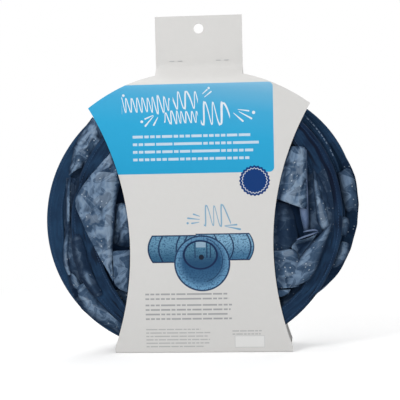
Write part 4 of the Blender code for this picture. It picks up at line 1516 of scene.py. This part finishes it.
# %% Right opening
flap = net("""
    286 148 23.4, 291 146.4 24, 295.5 146.2 25, 300 146.4 25.6, 304.6 147.4 24.6
    284 152 23.4, 290 151.5 24, 295 151.5 26.6, 301 151.5 28, 306 152 25.4
    165: 280 23.4, 287 24, 293 27, 300 28.6, 306.4 25.6
    276 180 23.4, 283 180 24, 290 180.5 27.4, 299 181 28.8, 306.4 181 25.8
    273 190 23.4, 280 191.5 24.2, 288 194 28.4, 298 197 29.6, 306.6 197 26
    272 197 23.4, 279.6 198.8 24.4, 287 201.5 29, 297 205 30, 306.8 208 26.2
    272 198 22, 279.6 199.6 22.8, 287 202.3 26.8, 297 206 27.6, 306.8 209 24.8""")
lay_cloth("mouth_flap_right", [
    drawn_panel(tucked(flap, -14), (1.15, 58, 18, 6), 12.0, lit=(21, 29))],
    printed_cloth)
rim = net("""
    305 149 24.4, 305.8 149.4 25.2, 306.6 149.8 24.4
    160: 305.2 24.6, 306 25.6, 306.8 24.4
    178: 305.2 24.8, 306.2 26, 307.2 24.6
    304.8 194 25, 306.4 195 26.8, 308 196 24.8
    299.8 205.5 24.6, 304 207 25.8, 308.6 207 23.8
    218: 301 23.6, 305 25, 308.8 23.4
    303.4 228 22.6, 306 228.6 23.4, 308.6 229 22.4
    304.4 231.6 22, 306.6 231.8 22.4, 308.6 231.8 22""")


def thin_lip(table, half=0.8, proud=1.4):
    """Net of a narrow rolled edge of cloth along the one row of a table."""
    return [[(across, down - half, depth), (across, down - 0.3 * half, depth - proud),
             (across, down + 0.5 * half, depth - proud), (across, down + half, depth)]
            for across, down, depth in net(table)[0]]


upper_lip = thin_lip("303.4 231.9 25, 307 231 26.4, 311 230.3 26.8, 315 230 26.6, 318 231.2 25.2")
lower_lip = thin_lip("296.8 239.8 25.4, 300.5 238.2 26.6, 305 236.5 27.4, 311 234.5 27.4, 318 232 25.4")
lay_cloth("mouth_edge_right", [
    drawn_panel(rim, (0.2, 90, 16, 4), 13.0, (4, 7), (20.5, 27)),
    drawn_panel(upper_lip, (0.1, 5, 12, 4), 14.0, (5, 4), (22, 27)),
    drawn_panel(lower_lip, (0.1, 20, 12, 4), 14.5, (5, 4), (22, 27))],
    reverse_cloth)
side_fold = net("""
    174: 313.4 21.4, 314.6 21.8, 315.8 21.5
    182: 313.2 21.5, 315.2 22.8, 317.4 22.2
    191: 313.8 21.5, 316.6 23.8, 320 22.6
    200: 314.8 21.6, 318.6 25.4, 323 23.4
    209: 315.6 22, 320.4 26.4, 326 23.8
    219: 316.6 22.4, 322.2 26.6, 328.6 24
    318.8 225 22.4, 324 225.6 25.6, 329.6 226 24
    322 230 22, 325.4 230.4 23.6, 329.4 230.6 24""")
side_strip = net("""
    168: 311.5 20.6, 312.5 20.8, 313.5 20.8, 314.4 20.4
    180: 313.6 21, 316 21.6, 318.4 21.6, 320.8 20.8
    195: 316.6 21.4, 320 22.2, 323.4 22.4, 326.8 21.4
    210: 320 21.8, 324 22.6, 327.6 22.8, 331 21.8
    222: 323 22, 326.4 22.8, 329.6 23, 332.6 22
    232: 324 22, 327 22.4, 330 22.4, 332.4 22""")
facet = net("""
    326 228.4 25, 327.4 226.8 25.4, 328.8 225.2 25.4, 330 224 25.2, 331.2 222.6 24.8
    317 238 25.4, 320.6 236 27, 324 234 27.6, 327 232.4 26.8, 329.6 231 24.9
    308.6 246.6 25.4, 313.6 244.6 28.2, 318.6 242.6 29, 323.4 241 27.6, 326.8 240 24.9
    297.1 261 25.4, 304 258 28.8, 311 255 29.6, 318 252.6 28, 322.8 251 24.9
    292 268 26.8, 299.5 267.4 28.6, 307 266.6 29.2, 314 264.6 27.8, 319.2 261 24.9
    286 277 26, 294 276.6 28, 302.6 276 28.6, 310.6 274 27.4, 315.6 270.6 24.9
    281.6 287 24.8, 289 286.6 26.8, 297 285 27, 305 282 26.6, 310.6 278.4 24.9""")
floor_fold = net("""
    268 250.4 23, 277 250.6 24.2, 283 250 25.6, 289 249 26, 294 249.6 25
    268 252.6 23.2, 277 252.8 24.4, 284 252.6 28.2, 291 251.4 28.6, 297 254 26.6
    262: 268 23.2, 277.4 24.4, 285 27, 293 27.8, 299 26.8
    269 274 23.2, 278.4 274 24.4, 286 274.4 28, 294 275 28.4, 301 275.6 27
    270 279 23.2, 279 279 24.2, 286 279 26, 294 279.6 26.8, 302 279.6 26.4
    271 288.4 23.2, 280 288.4 24.2, 286 288 26.6, 292 287.4 26.6, 298 286.4 25.6""")
foot_fold = net("""
    272 290 22.6, 280.6 289.8 23.8, 285 289.6 24.8, 290.6 289.2 24.8
    272 293 22.8, 281 293 24, 285.4 292.6 25, 289.6 291.6 24.8
    272 297 22.8, 281.6 296.6 24, 284.6 295.4 24.6, 287.6 293.6 24.6""")
lay_cloth("mouth_cloth_right", [
    drawn_panel(side_fold, (0.6, 80, 14, 5), 15.0, lit=(20.5, 26.5)),
    drawn_panel(side_strip, (0.6, 78, 14, 4), 15.5, (6, 6), (20.4, 27.5)),
    drawn_panel(facet, (0.55, 50, 30, 12), 16.0, lit=(21.5, 31.5)),
    drawn_panel(tucked(floor_fold, -14), (0.7, 8, 26, 7), 27.0, lit=(21, 31.5)),
    drawn_panel(tucked(foot_fold, -10), (0.2, 0, 10, 4), 18.0, (5, 5), (21.5, 27.5))],
    printed_cloth)
wall = net("""
    164: 304 18.4, 307 18.6, 310 18.6
    172: 304 19.2, 309 19.8, 313.6 20.2
    190: 305 20, 311 21.2, 316.4 22
    210: 305 20, 312 21.4, 319.4 22.2
    226: 305 20, 313 21.4, 322 22.2
    236: 304 20, 313 20.6, 323 21""")
pocket = net("""
    296.8 240.6 24.6, 303.6 239.4 25.2, 310 237.2 25.4, 317 233.6 25
    294 243.6 24.6, 300.6 243.6 22.6, 306.6 242.4 22.4, 312.4 240.4 24
    291.6 247.4 25.4, 297.6 249.4 23.6, 303 248.6 22.8, 308 246.4 24.2
    294.6 253 25.4, 297.6 254.6 24, 300.4 254 23.6, 303.4 252 24.4
    297 259.6 25.2, 298 259.4 25, 298.8 259 25, 299.6 258.4 25""")
shelf = net("""
    270 200 21, 279 202 19.6, 286 203 19, 290 204 17
    214: 270 21, 279 20.6, 286 20.6, 293.6 17.6
    228: 270 21, 279 21, 287 21.2, 296.6 18
    270 240 21, 279 240 21.6, 287.6 241 22, 297.6 239.6 20
    270 251 21, 279 251 22, 286.6 250 23, 291.6 247.6 22""")
lay_cloth("mouth_lining_right", [
    drawn_panel(wall, (0.5, 85, 16, 5), 19.0, (6, 6), (19.8, 29)),
    drawn_panel(pocket, (0.4, 40, 12, 4), 20.0, (6, 6), (21.5, 28)),
    drawn_panel(tucked(shelf, -12), (0.6, 80, 18, 6), 21.0, (6, 6), (21.6, 36))],
    printed_cloth)
# A dark sheet of painted shade behind the right opening's folds.
shade_sheet_right = net("""
    290 122 18, 298 122 18, 305 124 18, 310 128 18.4
    284 138 18, 296 138 17.8, 306 140 17.8, 320 142 18.4
    276 158 18, 292 158 17.6, 306 158 17.6, 328 160 18.4
    190: 270 18, 288 17.6, 306 17.6, 336 18.4
    220: 268 18, 288 17.6, 306 17.6, 338 18.4
    250: 268 18, 288 17.6, 306 17.6, 332 18.4
    280: 270 18, 284 17.8, 300 17.8, 318 18.4""")
lay_cloth("mouth_depth_right", [drawn_panel(tucked(shade_sheet_right, -18), (0.6, 80, 20, 6), 22.0, (5, 5))],
          deep_cloth)

# %% Puffs of cloth at the right rim
PUFF_LIT = (10.8, 20.4)
puff_high = net("""
    337.6 173 14, 341.5 171.4 15.2, 346 168.4 15.6, 350.4 169.4 14.6
    339 179 14.2, 343 178 15.6, 349 177.4 16.2, 353.6 178 14.8
    187: 340.4 14.2, 344.4 15.8, 350.4 16, 355.6 15
    342.4 197 14.2, 346.4 197 15.2, 352 197.4 16.4, 357 198 14.8
    344.6 205 14.2, 347.6 206.4 15.4, 352.4 206 15.6, 357.4 206 14.4
    345.6 210 14, 348.6 211.8 14.8, 352 210.2 14.8, 356.4 211.6 14""")
puff_middle = net("""
    338 217.4 14, 341.6 216.6 15.8, 345.4 217 15.8, 348.4 218.8 14
    338 224 14.2, 342 224 16.6, 346.2 224.4 16.4, 349 225.4 14.2
    337.4 230 14, 341 230.4 16, 344.6 231 16, 347.6 231.4 14
    337 234 13.9, 340 234.6 15, 343 235.2 15, 346 235.4 13.9""")
puff_low = net("""
    338.4 242.6 14, 342 241.6 15.8, 345.6 242 15.8, 349 243.8 14
    336 251 14.2, 340.4 251 16.6, 344.6 251.6 16.6, 348.2 252.4 14.2
    332.6 260 14, 337 260.6 16.2, 341 261 16.2, 344.6 260.6 14
    329 266.6 13.8, 332.6 267.4 15, 335.8 267 15, 338.8 265.4 13.8""")
lay_cloth("rim_cloth_right", [
    drawn_panel(puff_high, (0.5, 78, 14, 4), 23.0, (6, 6), PUFF_LIT),
    drawn_panel(puff_middle, (0.4, 80, 10, 4), 24.0, (6, 6), PUFF_LIT),
    drawn_panel(puff_low, (0.4, 60, 10, 4), 25.0, (6, 6), PUFF_LIT)],
    printed_cloth)

# %% [markdown]
# ## The hub's outer panel
# One panel of the hub doesn't fold inward: it passes outside the stack on the right, from between the
# front and left arms to the last hoop. It shows at the rim as pale printed patches between the navy
# casings.

# %% Hub side cloth


def rim_reach(angle, start):
    """Distance from a point to the outside of the hoops that the panel passes, along an angle."""
    best = 0.0
    for name in ("left_hub", "left_middle", "left_mouth", "right_mouth", "right_middle"):
        hoop = hoops[name]
        low, high = 0.09, 0.18
        for _ in range(24):
            reach = (low + high) / 2
            x_off = start.x + reach * math.cos(angle) - hoop.centre.x
            z_off = start.z + reach * math.sin(angle) - hoop.centre.z
            area = hoop.wide * hoop.low - hoop.skew ** 2
            across = (hoop.low * x_off - hoop.skew * z_off) / area
            up = (hoop.wide * z_off - hoop.skew * x_off) / area
            if math.hypot(across, up) < CASING_RADIUS:
                low = reach
            else:
                high = reach
        best = max(best, low)
    return best


SIDE_LOW = math.radians(-38)
SIDE_HIGH = math.radians(28)
FRONT_TUCK = 12 * MM
REAR_TUCK = 30 * MM
grid = []
start = hoops["left_middle"].centre
front_y = (hoops["front_hub"].y + hoops["left_hub"].y) / 2
rear_y = (hoops["right_middle"].y + hoops["right_hub"].y) / 2
SIDE_ROWS = 80
for step in range(SIDE_ROWS + 1):
    share = step / SIDE_ROWS
    angle = SIDE_LOW + (SIDE_HIGH - SIDE_LOW) * share
    dip = 5.0 * MM * (1 - smoothstep(math.sin(math.pi * share) * 1.5))
    wall = rim_reach(angle, start) + 0.55 * MM - dip
    fade = math.sin(math.pi * (step + 4) / (SIDE_ROWS + 8))
    line = [(wall - FRONT_TUCK * fade * (1 - index / 6), front_y - 0.3 * MM * math.sin(index))
            for index in range(7)]
    line += [(wall, front_y + (rear_y - front_y) * index / 16) for index in range(1, 16)]
    line += [(wall - REAR_TUCK * fade * index / 8, rear_y + 0.2 * MM * math.sin(index))
             for index in range(9)]
    row = []
    for place, (reach, depth) in enumerate(line):
        rough = crease_noise((angle * 6, depth * 60, reach * 20), 4.4)
        slack = (0.2 + 0.5 * max(rough, -0.4)) * MM if 5 < place < 23 else 0.0
        swung = angle + 0.03 * (2 * share - 1) * math.sin(depth * 240)
        outward = Vector((math.cos(swung), 0, math.sin(swung)))
        row.append(Vector((start.x, depth, start.z)) + outward * (reach + slack))
    grid.append(row)
item = cloth_mesh("hub_side_panel", [grid], False, printed_cloth)
item.data.materials.append(shadow_print)
# The front flange takes the darker shadow copy of the print: painted shade at the rim.
for face in item.data.polygons:
    face.material_index = 1 if face.center.y < front_y + 1.1 * MM else 0
settle(item,
       ["hub_side_cloth"])

# %% [markdown]
# ## The toy ball
# A small plush ball hangs in the hub of the opened tunnel. Packed, it lies at the bottom of the bore.
# Plush is short pile: a finely lumped, nearly matt surface does for it at this size.

# %% Toy ball
plush = Paint("dark_plush", Roughness=0.95)
plush.set("Specular IOR Level", 0.15)
plush.set("Sheen Weight", 0.08)
plush.set("Sheen Roughness", 0.6)
tuft = plush.grain(plush.place(), 1.3 * MM, 4.0, 0.7)
plush.set("Base Color", plush.mix(tuft.ramp(0.3, 0.7), screen(12, 26, 52), screen(48, 72, 110)))
plush.set("Normal", plush.bump(tuft, 1.0 * MM, 0.9))
low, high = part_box("toy_ball")
centre = (Vector(low) + Vector(high)) / 2
radius = (high[0] - low[0]) / 2
builder = bmesh.new()
bmesh.ops.create_icosphere(builder, subdivisions=5, radius=radius)
for vert in builder.verts:
    direction = vert.co.normalized()
    seam = abs(direction.x * 0.8 + direction.z * 0.6)
    tuck = 0.5 * MM * max(0.0, 1 - seam / 0.06)
    lump = 0.3 * MM * noise.noise(direction * 14) + 0.3 * MM * noise.noise(direction * 37)
    vert.co = centre + direction * (radius - 0.4 * MM + lump - tuck)
plush_ball = add_object("plush_ball", builder, plush.material)
plush_ball.data.shade_smooth()
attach(plush_ball, "left_middle")
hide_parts("toy_ball")
